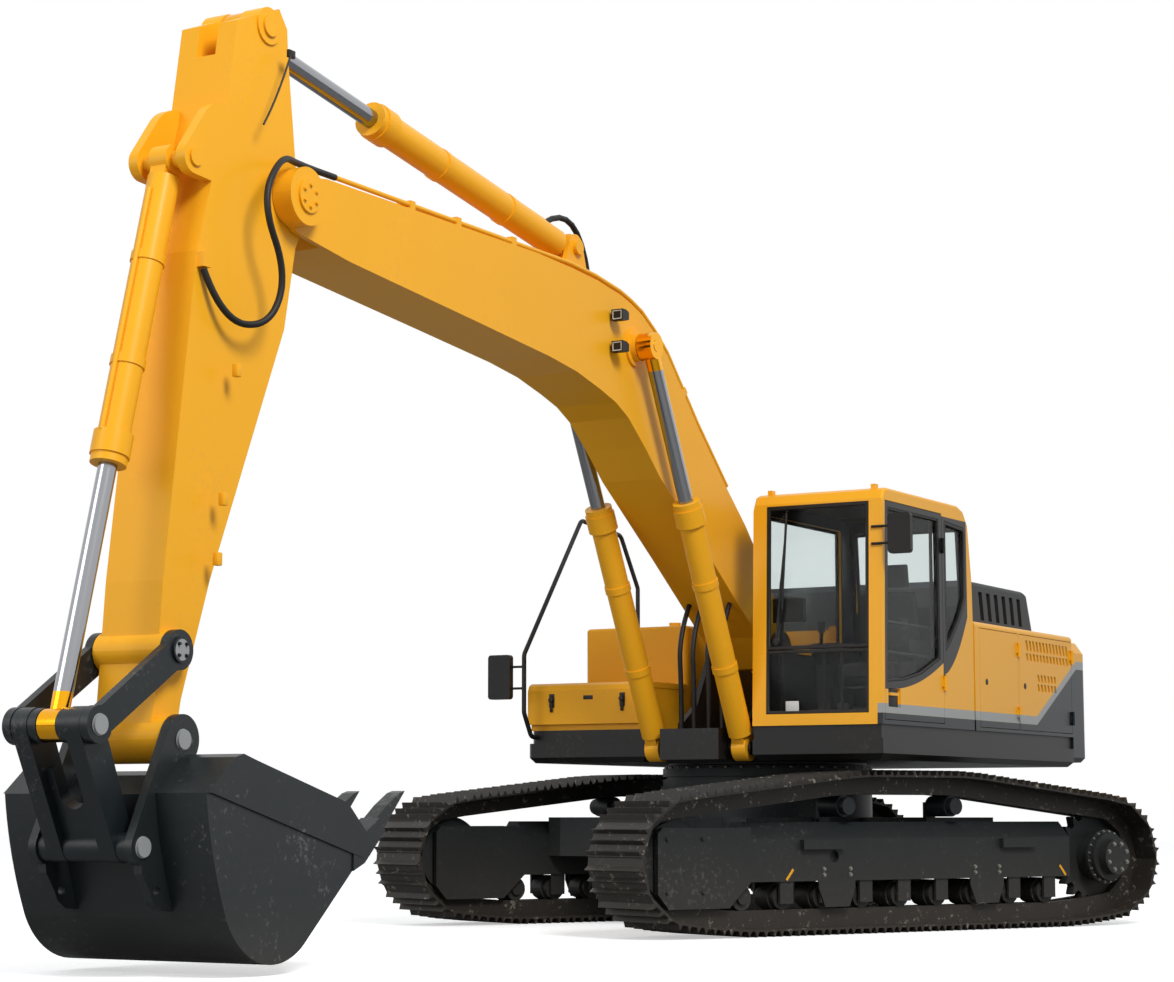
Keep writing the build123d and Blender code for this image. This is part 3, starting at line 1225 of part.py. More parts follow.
keep(consoles, "consoles")

RAIL_Y = -HOUSE_HALF + 70
RAIL_R = 17
RAIL_FRONT = 1220
RAIL_TURN = 1990

with BuildPart() as handrails:
    route = [
        (TOOLBOX_FRONT - BAND_INSET + FIT, RAIL_Y, 1383),
        (RAIL_FRONT - 105, RAIL_Y, 1383),
        (RAIL_FRONT, RAIL_Y, 1560),
        (RAIL_FRONT, RAIL_Y, RAIL_TURN),
        (372, RAIL_Y, 3072),
        (-250, RAIL_Y, 3010),
        (-420, RAIL_Y + 60, 2600),
        (-420, RAIL_Y + 60, TANK_TOP + FIT),
    ]
    pipe(route, 60, 2 * RAIL_R)
keep(handrails, "handrails")

ARM_BAR = 9

with BuildPart() as mirrors:
    rail_side = RAIL_Y - RAIL_R - FIT
    lump(RAIL_FRONT - 12, RAIL_FRONT + 38, rail_side - 275, rail_side - 85, 1660, 1990)
    fillet(mirrors.edges().filter_by(Axis.X), radius=25)
    for z in (1740, 1900):
        boss((RAIL_FRONT, z), ARM_BAR, rail_side - 90, rail_side)
    low, high = 2600, 2880
    ahead = cab_front(low) + ARM_BAR + FIT
    with BuildSketch(Plane.YZ.offset(ahead + 8)) as glass_side:
        with Locations((HOUSE_HALF + 150, (low + high) / 2)):
            RectangleRounded(170, high - low, 25)
    extrude(glass_side.sketch, amount=42)
    for z in (2680, 2800):
        boss((cab_front(z) + ARM_BAR + FIT, z), ARM_BAR, CAB_MIDDLE + FRONT_WINDOW_HALF + 25, HOUSE_HALF + 85)
        lump(cab_front(z) + FIT + 2, ahead + 20, HOUSE_HALF + 70, HOUSE_HALF + 88, z - ARM_BAR, z + ARM_BAR)
keep(mirrors, "mirrors")

with BuildPart() as boom_lamps:
    for z in (3880, 4095):
        lump(2735, 2775, BOOM_HALF + FIT, BOOM_HALF + 40, z + 15, z + 60)
        case = [(2725, z + 12), (2725, z + 63), (2765, z + 76), (2815, z + 76), (2815, z), (2765, z)]
        slab(case, BOOM_HALF + 22, BOOM_HALF + 108)
keep(boom_lamps, "boom_lamps")

# Steel pipes along the boom's top, held by clamps

PIPE_R = 15
PIPE_RISE = 33
LONG_PIPE_Y = 212
LONG_PIPE_END = 5950
SHORT_PIPE_Y = 172
SHORT_PIPE_END = 5240
CLAMP_HALF = 26
CLAMP_HIGH = PIPE_RISE + PIPE_R + 3


def lifted(points, rise):
    """A line that runs above a row of points by a given distance."""
    line = []
    for before, here, after in zip(points, points[1:], points[2:]):
        length, direction = away(before, after)
        angle = math.radians(direction + 90)
        line.append((here[0] + rise * math.cos(angle), here[1] + rise * math.sin(angle)))
    return line


def clamp(start, end, share, y0, y1):
    """A block that holds the pipes on the straight from one point of the boom's top to the next."""
    length, direction = away(start, end)
    angle = math.radians(direction)
    block = []
    for run, rise in ((-CLAMP_HALF, FIT), (CLAMP_HALF, FIT), (CLAMP_HALF, CLAMP_HIGH), (-CLAMP_HALF, CLAMP_HIGH)):
        reach = length * share + run
        block.append((
            start[0] + reach * math.cos(angle) - rise * math.sin(angle),
            start[1] + reach * math.sin(angle) + rise * math.cos(angle),
        ))
    slab(block, y0, y1)


with BuildPart() as boom_pipes:
    bend = lifted(BOOM_TOP[2:14], PIPE_RISE)
    for sign in (1, -1):
        for y, end in ((LONG_PIPE_Y, LONG_PIPE_END), (SHORT_PIPE_Y, SHORT_PIPE_END)):
            line = bend[:-1] + [(end, BOOM_TOP[13][1] + PIPE_RISE)]
            pipe([(x, sign * y, z) for x, z in line], 90, 2 * PIPE_R)
        spread = sorted((sign * (SHORT_PIPE_Y - 24), sign * (LONG_PIPE_Y + 17)))
        for share in (0.12, 0.4, 0.62):
            clamp(BOOM_TOP[12], BOOM_TOP[13], share, *spread)
        clamp(BOOM_TOP[4], BOOM_TOP[5], 0.45, *spread)
keep(boom_pipes, "boom_pipes")

# Hoses, drawn whole in the pose that is shown

HOSE_D = 38
BOOM_HOSE_D = 36

with BuildPart() as boom_hoses:
    slope = math.atan2(BOOM_LOW[-3][1] - BOOM_LOW[-2][1], BOOM_LOW[-3][0] - BOOM_LOW[-2][0])
    square = (-math.sin(slope), math.cos(slope))
    landing = (930 - FIT * square[0], BOOM_LOW[-2][1] + math.tan(slope) * (930 - BOOM_LOW[-2][0]) - FIT * square[1])
    last = (landing[0] - 290 * square[0], landing[1] - 290 * square[1])
    for y in (-165, -60, 60, 165):
        hose(
            [
                (1060, y, DECK_HIGH - 10 + FIT),
                (1060, y, 1720),
                (last[0], y, last[1]),
                (landing[0], y, landing[1] - 1),
            ],
            BOOM_HOSE_D,
        )
keep(boom_hoses, "boom_hoses")

with BuildPart() as arm_hose:
    hose(
        [
            (LONG_PIPE_END + FIT, LONG_PIPE_Y, BOOM_TOP[13][1] + PIPE_RISE),
            (6290, LONG_PIPE_Y, BOOM_TOP[13][1] + PIPE_RISE),
            (6640, 345, 4390),
            (6850, 375, 4090),
            (6610, 375, 3720),
            (6720, 340, 3420),
            (7030, 262, 3410),
            (7135, ARM_HALF + 23, PORT_LOW - 8),
        ],
        HOSE_D,
    )
keep(arm_hose, "arm_hose")
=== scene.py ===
# %% [markdown]
# A crawler excavator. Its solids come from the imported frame, in metres, with X forward, Y to the cab side
# and Z up. This lesson gives each solid its finish, then adds what is too fine for solids: seals, bolts,
# latches, hoses, lamp glasses and a padded place to sit.

# %% Load the frame
import math

import bpy
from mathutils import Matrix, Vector


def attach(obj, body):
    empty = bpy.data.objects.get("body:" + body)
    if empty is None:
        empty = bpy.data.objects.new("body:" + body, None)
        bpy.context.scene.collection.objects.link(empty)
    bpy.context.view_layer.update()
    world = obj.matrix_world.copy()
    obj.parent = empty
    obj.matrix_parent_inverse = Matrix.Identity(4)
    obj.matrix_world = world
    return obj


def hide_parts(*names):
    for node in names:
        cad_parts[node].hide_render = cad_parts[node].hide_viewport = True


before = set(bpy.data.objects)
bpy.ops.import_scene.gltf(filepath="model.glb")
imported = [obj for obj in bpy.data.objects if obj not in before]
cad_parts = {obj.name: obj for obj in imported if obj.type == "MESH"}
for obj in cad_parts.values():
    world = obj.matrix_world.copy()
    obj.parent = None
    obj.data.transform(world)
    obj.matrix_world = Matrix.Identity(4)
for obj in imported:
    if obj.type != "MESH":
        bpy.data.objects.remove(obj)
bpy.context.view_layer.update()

SWING_X = -2.34
SLEW = math.radians(24)


def house(x, y, z):
    """A point measured from the slewing axis, along the upper structure, put into the frame."""
    return Vector((x + SWING_X, y, z))


def chassis(x, y, z):
    """A point measured from the slewing axis, along the tracks, put into the frame."""
    along = x * math.cos(SLEW) + y * math.sin(SLEW)
    across = -x * math.sin(SLEW) + y * math.cos(SLEW)
    return Vector((along + SWING_X, across, z))


# %% [markdown]
# Paint on a working machine is never one flat colour. Dust gathers low down, patches are rubbed, and the
# coat has a faint grain. One group gives these as masks, and each finish uses them with its own values.

# %% A group for weather and wear


def new_node(tree, kind, **settings):
    made = tree.nodes.new(kind)
    for key, value in settings.items():
        setattr(made, key, value)
    return made


def feed(tree, socket, value):
    if isinstance(value, bpy.types.NodeSocket):
        tree.links.new(value, socket)
    else:
        socket.default_value = value


def sums(tree, operation, first, second=0.0, clamp=False):
    made = new_node(tree, "ShaderNodeMath", operation=operation, use_clamp=clamp)
    feed(tree, made.inputs[0], first)
    feed(tree, made.inputs[1], second)
    return made.outputs[0]


def ramp(tree, value, low, high):
    """0 below low, 1 above high, and a straight slope between."""
    made = new_node(tree, "ShaderNodeMapRange", clamp=True)
    feed(tree, made.inputs["Value"], value)
    feed(tree, made.inputs["From Min"], low)
    feed(tree, made.inputs["From Max"], high)
    return made.outputs[0]


def noise(tree, vector, scale, detail=4.0, rough=0.55):
    made = new_node(tree, "ShaderNodeTexNoise")
    tree.links.new(vector, made.inputs["Vector"])
    feed(tree, made.inputs["Scale"], scale)
    made.inputs["Detail"].default_value = detail
    made.inputs["Roughness"].default_value = rough
    return made.outputs["Fac"]


def new_group(name, inputs, outputs):
    tree = bpy.data.node_groups.new(name, "ShaderNodeTree")
    for label, value in inputs.items():
        socket = tree.interface.new_socket(label, in_out="INPUT", socket_type="NodeSocketFloat")
        socket.default_value = value
    for label in outputs:
        tree.interface.new_socket(label, in_out="OUTPUT", socket_type="NodeSocketFloat")
    return tree, tree.nodes.new("NodeGroupInput"), tree.nodes.new("NodeGroupOutput")


def weather_group():
    values = {"Dust": 0.3, "Wear": 0.2, "Dust top": 1.5, "Patch": 1.4, "Grain": 160.0}
    tree, given, result = new_group("Weather", values, ["Dust", "Wear", "Mottle", "Height"])
    place = new_node(tree, "ShaderNodeTexCoord").outputs["Object"]
    split = new_node(tree, "ShaderNodeSeparateXYZ")
    tree.links.new(place, split.inputs[0])
    patches = noise(tree, place, given.outputs["Patch"], 6.0)
    fine = noise(tree, place, 28.0, 9.0, 0.68)
    low = sums(tree, "SUBTRACT", 1.0, ramp(tree, split.outputs["Z"], 0.0, given.outputs["Dust top"]))
    cloud = sums(tree, "MULTIPLY", patches, fine)
    dust = sums(tree, "MULTIPLY", sums(tree, "ADD", low, cloud), given.outputs["Dust"], True)
    scuffs = ramp(tree, sums(tree, "MULTIPLY", fine, sums(tree, "ADD", patches, 0.5)), 0.61, 0.72)
    tree.links.new(dust, result.inputs["Dust"])
    tree.links.new(sums(tree, "MULTIPLY", scuffs, given.outputs["Wear"], True), result.inputs["Wear"])
    tree.links.new(patches, result.inputs["Mottle"])
    tree.links.new(noise(tree, place, given.outputs["Grain"], 3.0), result.inputs["Height"])
    return tree


WEATHER = weather_group()
print("group:", WEATHER.name)

# %% [markdown]
# The sides of the house carry a dark lower band and a light grey stripe. The stripe runs level behind the
# cab and then climbs to the top of the counterweight. It is painted, so it is a mask worked out from place.

# %% A group for the stripe on the house


CLIMB_START = -1.80
CLIMB_SLOPE = 0.52
STRIPE_TOP = 1.575
STRIPE_CREST = 2.05
STRIPE_WIDTH = 0.066
SIDE_FACE = 1.428
TAIL_START = -2.62
EDGE = 0.002


def livery_group():
    tree, given, result = new_group("Livery", {}, ["Dark", "Stripe"])
    split = new_node(tree, "ShaderNodeSeparateXYZ")
    tree.links.new(new_node(tree, "ShaderNodeTexCoord").outputs["Object"], split.inputs[0])
    x, y, z = split.outputs
    climb = sums(tree, "MAXIMUM", sums(tree, "SUBTRACT", SWING_X + CLIMB_START, x), 0.0)
    rising = sums(tree, "ADD", STRIPE_TOP, sums(tree, "MULTIPLY", climb, CLIMB_SLOPE))
    edge = sums(tree, "MINIMUM", rising, STRIPE_CREST)
    below = sums(tree, "SUBTRACT", edge, z)
    on_side = ramp(tree, sums(tree, "ABSOLUTE", y), SIDE_FACE, SIDE_FACE + EDGE)
    on_tail = ramp(tree, sums(tree, "SUBTRACT", SWING_X + TAIL_START, x), 0.0, EDGE / 2)
    here = sums(tree, "MAXIMUM", on_side, on_tail)
    dark = sums(tree, "MULTIPLY", ramp(tree, below, STRIPE_WIDTH, STRIPE_WIDTH + EDGE), here)
    band = sums(tree, "MULTIPLY", ramp(tree, below, 0.0, EDGE), here)
    tree.links.new(dark, result.inputs["Dark"])
    tree.links.new(sums(tree, "SUBTRACT", band, dark, True), result.inputs["Stripe"])
    return tree


LIVERY = livery_group()
print("group:", LIVERY.name)

# %% [markdown]
# Every finish below is one Principled shader. Its colour is mixed from the coat, the dust and what shows
# where the coat is rubbed. The grain reaches the surface through a Bump node.

# %% A recipe for a painted or plain surface
YELLOW = (0.93, 0.43, 0.012, 1)
SLATE = (0.0065, 0.0115, 0.0150, 1)
STRIPE_GREY = (0.33, 0.34, 0.33, 1)
DUST_TAN = (0.30, 0.24, 0.17, 1)
BARE_STEEL = (0.20, 0.19, 0.18, 1)
BLACK = (0.006, 0.006, 0.0065, 1)
CAP_GREY = (0.30, 0.31, 0.31, 1)
DOOR_SWEEP_START = 1.112
DOOR_SWEEP = 0.217
DOOR_SILL = 1.722 - 0.05
INSIDE_OF_CAB = ((SWING_X - 0.442, SWING_X + 1.105), (0.512, 1.426), (1.47, 3.032))
PILLAR_SWEEP_START = 0.16
PILLAR_SWEEP = 1.55
PILLAR_SILL = 1.80
PILLAR = ((SWING_X - 0.385, SWING_X + 0.17), (1.72, 2.972))


def blend_colours(tree, share, first, second):
    made = new_node(tree, "ShaderNodeMix", data_type="RGBA")
    feed(tree, made.inputs["Factor"], share)
    feed(tree, made.inputs[6], first)
    feed(tree, made.inputs[7], second)
    return made.outputs[2]


def finish(name, colour, rough, dust=0.25, wear=0.2, dust_top=1.5, metal=0.0, coat=0.0, grain=160.0,
           bump=0.12, patch=1.4, under=BARE_STEEL, shade=0.10, dusty=DUST_TAN, extra=None, specular=0.5):
    """A material with dust, wear and grain; extra may lay more paint over the coat, by its own masks."""
    made = bpy.data.materials.new(name)
    made.use_nodes = True
    tree = made.node_tree
    shader = tree.nodes["Principled BSDF"]
    weather = new_node(tree, "ShaderNodeGroup", node_tree=WEATHER)
    values = {"Dust": dust, "Wear": wear, "Dust top": dust_top, "Patch": patch, "Grain": grain}
    for label, value in values.items():
        weather.inputs[label].default_value = value
    darker = tuple(c * (1 - shade) for c in colour[:3]) + (1,)
    coat_colour = blend_colours(tree, weather.outputs["Mottle"], darker, colour)
    if extra:
        coat_colour = extra(tree, coat_colour)
    rubbed = blend_colours(tree, weather.outputs["Wear"], coat_colour, under)
    dusted = blend_colours(tree, weather.outputs["Dust"], rubbed, dusty)
    tree.links.new(dusted, shader.inputs["Base Color"])
    roughness = new_node(tree, "ShaderNodeMapRange", clamp=True)
    tree.links.new(weather.outputs["Dust"], roughness.inputs["Value"])
    roughness.inputs["To Min"].default_value = rough
    roughness.inputs["To Max"].default_value = min(1.0, rough + 0.4)
    tree.links.new(roughness.outputs[0], shader.inputs["Roughness"])
    relief = new_node(tree, "ShaderNodeBump")
    relief.inputs["Strength"].default_value = bump
    relief.inputs["Distance"].default_value = 0.002
    tree.links.new(weather.outputs["Height"], relief.inputs["Height"])
    tree.links.new(relief.outputs["Normal"], shader.inputs["Normal"])
    shader.inputs["Metallic"].default_value = metal
    shader.inputs["Coat Weight"].default_value = coat
    shader.inputs["Specular IOR Level"].default_value = specular
    shader.inputs["Coat Roughness"].default_value = 0.12
    return made


def livery(tree, colour):
    bands = new_node(tree, "ShaderNodeGroup", node_tree=LIVERY)
    striped = blend_colours(tree, bands.outputs["Stripe"], colour, STRIPE_GREY)
    return blend_colours(tree, bands.outputs["Dark"], striped, SLATE)


def axes(tree):
    """X, Y and Z of the place that is being painted."""
    split = new_node(tree, "ShaderNodeSeparateXYZ")
    tree.links.new(new_node(tree, "ShaderNodeTexCoord").outputs["Object"], split.inputs[0])
    return split.outputs


def squared(tree, value):
    return sums(tree, "MULTIPLY", value, value)


def door_trim(tree, colour):
    """Black above the swept lower edge of the door's window."""
    x, y, z = axes(tree)
    back = sums(tree, "SUBTRACT", SWING_X + DOOR_SWEEP_START, x)
    curve = sums(tree, "MULTIPLY", squared(tree, back), DOOR_SWEEP)
    above = sums(tree, "SUBTRACT", z, sums(tree, "ADD", curve, DOOR_SILL))
    return blend_colours(tree, ramp(tree, above, 0.0, EDGE), livery(tree, colour), BLACK)


def between(tree, value, low, high):
    """1 where the value lies between two limits, with a narrow soft edge."""
    rising = ramp(tree, value, low - EDGE / 2, low + EDGE / 2)
    falling = sums(tree, "SUBTRACT", 1.0, ramp(tree, value, high - EDGE / 2, high + EDGE / 2))
    return sums(tree, "MULTIPLY", rising, falling)


def cab_trim(tree, colour):
    """The cab is black inside, and black round its rear side window up to the door."""
    x, y, z = axes(tree)
    inside = 1.0
    for value, (low, high) in zip((x, y, z), INSIDE_OF_CAB):
        inside = sums(tree, "MULTIPLY", inside, between(tree, value, low, high))
    back = sums(tree, "MAXIMUM", sums(tree, "SUBTRACT", SWING_X + PILLAR_SWEEP_START, x), 0.0)
    sweep = sums(tree, "ADD", PILLAR_SILL, sums(tree, "MULTIPLY", squared(tree, back), PILLAR_SWEEP))
    pillar = ramp(tree, y, 1.40, 1.402)
    for value, (low, high) in zip((x, z), PILLAR):
        pillar = sums(tree, "MULTIPLY", pillar, between(tree, value, low, high))
    pillar = sums(tree, "MULTIPLY", pillar, ramp(tree, sums(tree, "SUBTRACT", z, sweep), 0.0, EDGE))
    return blend_colours(tree, sums(tree, "MAXIMUM", inside, pillar), livery(tree, colour), BLACK)


def round_pins(pins, radius, paint):
    """Lays another paint over what is near pins that lie across the machine."""
    def lay(tree, colour):
        x, y, z = axes(tree)
        nearest = 100.0
        for pin_x, pin_z in pins:
            dx = sums(tree, "SUBTRACT", x, pin_x + SWING_X)
            dz = sums(tree, "SUBTRACT", z, pin_z)
            span = sums(tree, "SQRT", sums(tree, "ADD", squared(tree, dx), squared(tree, dz)))
            nearest = sums(tree, "MINIMUM", span, nearest)
        share = sums(tree, "SUBTRACT", 1.0, ramp(tree, nearest, radius, radius + EDGE / 2))
        return blend_colours(tree, share, colour, paint)
    return lay


print("recipe ready")

# %% [markdown]
# The finishes of this machine: gloss yellow on the working gear and the house, slate on the chassis and the
# bucket, polished rods, rubbed track steel, dark glass and black rubber.

# %% The finishes
LEVER_PIVOT, LEVER_PIN = (7.345, 1.650), (7.960, 1.252)
ARM_END, BUCKET_PIN = (7.385, 1.190), (7.687, 0.652)
BOOM_CYLINDER_PIN, ARM_CYLINDER_EYE = (2.460, 3.965), (6.570, 5.155)
LINK_PINS = [LEVER_PIVOT, LEVER_PIN]
BUCKET_PINS = [ARM_END, BUCKET_PIN]
ROD_PINS = [BOOM_CYLINDER_PIN, ARM_CYLINDER_EYE, LEVER_PIN]
HOUSE_COAT = dict(rough=0.34, dust=0.03, wear=0.05, dust_top=1.6, coat=0.05, bump=0.05, shade=0.04, specular=0.2)
FINISHES = {
    "gear_yellow": finish("gear_yellow", YELLOW, 0.38, 0.03, 0.06, 1.2, coat=0.05, bump=0.06, shade=0.07,
                          specular=0.2),
    "house_yellow": finish("house_yellow", YELLOW, **HOUSE_COAT, extra=livery),
    "cab_yellow": finish("cab_yellow", YELLOW, **HOUSE_COAT, extra=cab_trim),
    "door_yellow": finish("door_yellow", YELLOW, **HOUSE_COAT, extra=door_trim),
    "slate": finish("slate", SLATE, 0.45, 0.10, 0.25, 0.8, bump=0.12, shade=0.2, specular=0.25),
    "linkage_slate": finish("linkage_slate", SLATE, 0.38, 0.04, 0.3, 0.4, bump=0.12, shade=0.2, specular=0.35,
                            extra=round_pins(LINK_PINS, 0.055, CAP_GREY)),
    "deck_black": finish("deck_black", BLACK, 0.42, 0.05, 0.1, 1.2, bump=0.1, specular=0.3),
    "hood_grey": finish("hood_grey", (0.022, 0.026, 0.030, 1), 0.5, 0.06, 0.1, 2.2, bump=0.2, grain=260.0,
                        specular=0.3),
    "bucket_slate": finish("bucket_slate", (0.010, 0.0155, 0.018, 1), 0.38, 0.06, 0.45, 0.4, bump=0.15,
                           shade=0.3, specular=0.35, extra=round_pins(BUCKET_PINS, 0.055, CAP_GREY)),
    "track_steel": finish("track_steel", (0.018, 0.016, 0.014, 1), 0.45, 0.22, 1.0, 1.0, metal=0.4, bump=0.5,
                          grain=90.0, under=(0.30, 0.27, 0.22, 1), dusty=(0.10, 0.08, 0.06, 1), patch=9.0),
    "chrome": finish("chrome", (0.36, 0.37, 0.39, 1), 0.16, 0.04, 0.1, 0.4, metal=1.0, bump=0.02, shade=0.1,
                     extra=round_pins(ROD_PINS, 0.170, YELLOW)),
    "rubber": finish("rubber", (0.006, 0.006, 0.0065, 1), 0.5, 0.05, 0.15, 2.0, bump=0.25, grain=420.0,
                     under=(0.03, 0.03, 0.03, 1), specular=0.3),
    "black_plastic": finish("black_plastic", (0.008, 0.008, 0.009, 1), 0.48, 0.03, 0.1, 1.2, bump=0.3,
                            grain=520.0, under=(0.04, 0.04, 0.04, 1), specular=0.3),
    "zinc": finish("zinc", (0.30, 0.29, 0.27, 1), 0.38, 0.15, 0.3, 1.2, metal=0.9, bump=0.15, grain=300.0),
    "fabric": finish("fabric", (0.022, 0.023, 0.026, 1), 0.92, 0.05, 0.1, 1.0, bump=0.7, grain=900.0,
                     under=(0.06, 0.06, 0.06, 1)),
    "pale_plate": finish("pale_plate", (0.62, 0.62, 0.60, 1), 0.45, 0.1, 0.1, 1.0, bump=0.05),
}


def glass_finish(name, colour, rough, through):
    made = bpy.data.materials.new(name)
    made.use_nodes = True
    tree = made.node_tree
    shader = tree.nodes["Principled BSDF"]
    place = new_node(tree, "ShaderNodeTexCoord").outputs["Object"]
    smear = noise(tree, place, 2.5, 5.0)
    faint = new_node(tree, "ShaderNodeMapRange", clamp=True)
    tree.links.new(smear, faint.inputs["Value"])
    faint.inputs["To Min"].default_value = rough
    faint.inputs["To Max"].default_value = rough + 0.01
    tree.links.new(faint.outputs[0], shader.inputs["Roughness"])
    cloudy = blend_colours(tree, smear, colour, tuple(c * 0.92 for c in colour[:3]) + (1,))
    tree.links.new(cloudy, shader.inputs["Base Color"])
    shader.inputs["Transmission Weight"].default_value = through
    shader.inputs["IOR"].default_value = 1.1
    return made


FINISHES["tinted_glass"] = glass_finish("tinted_glass", (0.82, 0.87, 0.86, 1), 0.0, 1.0)
FINISHES["lamp_glass"] = glass_finish("lamp_glass", (0.85, 0.86, 0.86, 1), 0.05, 0.35)
print("finishes:", len(FINISHES))

# %% [markdown]
# Each solid keeps its shape and only gets its finish. The table says which solid wears which, and the loop
# stops if one has been forgotten, so nothing is left plain.

# %% Dress the solids
WEARS = {
    "gear_yellow": ["boom", "arm", "boom_barrels", "arm_barrel", "bucket_barrel", "tank", "toolbox",
                    "toolbox_lid", "boom_pipes"],
    "house_yellow": ["rear_body", "pump_body", "left_front_door", "left_rear_door", "right_door",
                     "counterweight"],
    "cab_yellow": ["cab"],
    "door_yellow": ["cab_door"],
    "slate": ["carbody", "track_frames", "idler_yokes", "sprockets", "swing_bearing",
              "idlers", "track_rollers", "carrier_rollers", "engine_block"],
    "linkage_slate": ["levers", "bucket_link"],
    "deck_black": ["upper_frame"],
    "hood_grey": ["engine_hood"],
    "bucket_slate": ["bucket"],
    "track_steel": ["track_left", "track_right"],
    "chrome": ["boom_rods", "arm_rod", "bucket_rod"],
    "tinted_glass": ["cab_glass", "door_glass"],
    "black_plastic": ["mirrors", "handrails", "consoles", "boom_lamps"],
    "rubber": ["boom_hoses", "arm_hose"],
    "fabric": ["seat"],
}
for finish_name, names in WEARS.items():
    for node_name in names:
        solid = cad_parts[node_name]
        solid.data.materials.clear()
        solid.data.materials.append(FINISHES[finish_name])
bare = set(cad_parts) - {n for names in WEARS.values() for n in names}
assert not bare, bare
print("dressed", sum(len(names) for names in WEARS.values()), "solids")

# %% [markdown]
# New pieces start as a primitive and are shaped with the same operators that a person would use by hand.
# These short helpers keep that in one place: start clean, shape, then settle the piece on its body.

# %% Helpers for new pieces


def clean_start():
    if bpy.context.object and bpy.context.object.mode != "OBJECT":
        bpy.ops.object.mode_set(mode="OBJECT")
    bpy.ops.object.select_all(action="DESELECT")


def settle(piece, name, body, finish_name, angle=35):
    """Names a piece, puts its place into its mesh, smooths it, paints it and lets it ride on a body."""
    clean_start()
    piece.select_set(True)
    bpy.context.view_layer.objects.active = piece
    bpy.ops.object.transform_apply(location=True, rotation=True, scale=True)
    bpy.ops.object.shade_smooth_by_angle(angle=math.radians(angle))
    piece.name = name
    piece.data.name = name
    piece.data.materials.clear()
    piece.data.materials.append(FINISHES[finish_name])
    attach(piece, body)
    return piece


def rounded(piece, width, segments=2):
    soft = piece.modifiers.new("soft edges", "BEVEL")
    soft.width = width
    soft.segments = segments
    soft.limit_method = "ANGLE"
    clean_start()
    piece.select_set(True)
    bpy.context.view_layer.objects.active = piece
    bpy.ops.object.modifier_apply(modifier=soft.name)
    return piece


def slab_between(low, high, soft=0.004):
    """A block from one corner to the other, with its edges softened."""
    clean_start()
    middle = (low + high) / 2
    bpy.ops.mesh.primitive_cube_add(size=1, location=middle)
    piece = bpy.context.object
    piece.scale = high - low
    bpy.ops.object.transform_apply(location=False, rotation=False, scale=True)
    return rounded(piece, soft)


def bar_between(start, end, radius, sides=20, soft=0.0):
    """A round bar from one point to another."""
    clean_start()
    way = end - start
    bpy.ops.mesh.primitive_cylinder_add(vertices=sides, radius=radius, depth=way.length,
                                        location=(start + end) / 2)
    piece = bpy.context.object
    piece.rotation_euler = way.to_track_quat("Z", "Y").to_euler()
    bpy.ops.object.transform_apply(location=False, rotation=True, scale=True)
    return rounded(piece, soft) if soft else piece


def joined(pieces):
    clean_start()
    for piece in pieces:
        piece.select_set(True)
    bpy.context.view_layer.objects.active = pieces[0]
    bpy.ops.object.join()
    return bpy.context.object


def bolt_head(place, way, radius=0.014, height=0.011):
    """A six-sided head on a round washer, standing on a surface that faces the given way."""
    foot = bar_between(place, place + way * 0.003, radius * 1.35, 16)
    clean_start()
    bpy.ops.mesh.primitive_cylinder_add(vertices=6, radius=radius, depth=height,
                                        location=place + way * (0.003 + height / 2))
    head = bpy.context.object
    head.rotation_euler = way.to_track_quat("Z", "Y").to_euler()
    bpy.ops.object.mode_set(mode="EDIT")
    bpy.ops.mesh.select_all(action="SELECT")
    bpy.ops.mesh.bevel(offset=0.0015, segments=1)
    bpy.ops.object.mode_set(mode="OBJECT")
    return joined([foot, head])


def bolt_row(name, body, places, way, radius=0.014, height=0.011, finish_name="zinc"):
    """Bolts that are all alike: one is modelled and the rest are copies of it."""
    first = bolt_head(places[0], way, radius, height)
    clean_start()
    first.select_set(True)
    bpy.context.view_layer.objects.active = first
    bpy.ops.object.transform_apply(location=True, rotation=True, scale=True)
    copies = [first]
    for place in places[1:]:
        twin = first.copy()
        twin.data = first.data.copy()
        twin.location = place - places[0]
        bpy.context.collection.objects.link(twin)
        copies.append(twin)
    return settle(joined(copies), name, body, finish_name)


print("helpers ready")

# %% [markdown]
# Window seals: a black rubber frame runs round every pane. Each starts as a filled circle with as many
# corners as the pane has. Its corners are put on the pane's corners, the face is inset, the middle is
# deleted, and the rest is thickened to the seal's depth.

# %% Window seals


def seal(name, body, corners, width, depth, finish_name="rubber"):
    clean_start()
    bpy.ops.mesh.primitive_circle_add(vertices=len(corners), fill_type="NGON")
    piece = bpy.context.object
    for vertex, corner in zip(piece.data.vertices, corners):
        vertex.co = corner
    bpy.ops.object.mode_set(mode="EDIT")
    bpy.ops.mesh.select_all(action="SELECT")
    bpy.ops.mesh.inset(thickness=width, use_boundary=True)
    bpy.ops.mesh.delete(type="FACE")
    bpy.ops.mesh.select_all(action="SELECT")
    bpy.ops.object.mode_set(mode="OBJECT")
    thick = piece.modifiers.new("depth", "SOLIDIFY")
    thick.thickness = depth
    thick.offset = 0
    clean_start()
    piece.select_set(True)
    bpy.context.view_layer.objects.active = piece
    bpy.ops.object.modifier_apply(modifier=thick.name)
    rounded(piece, min(width, depth) * 0.2, 1)
    return settle(piece, name, body, finish_name)


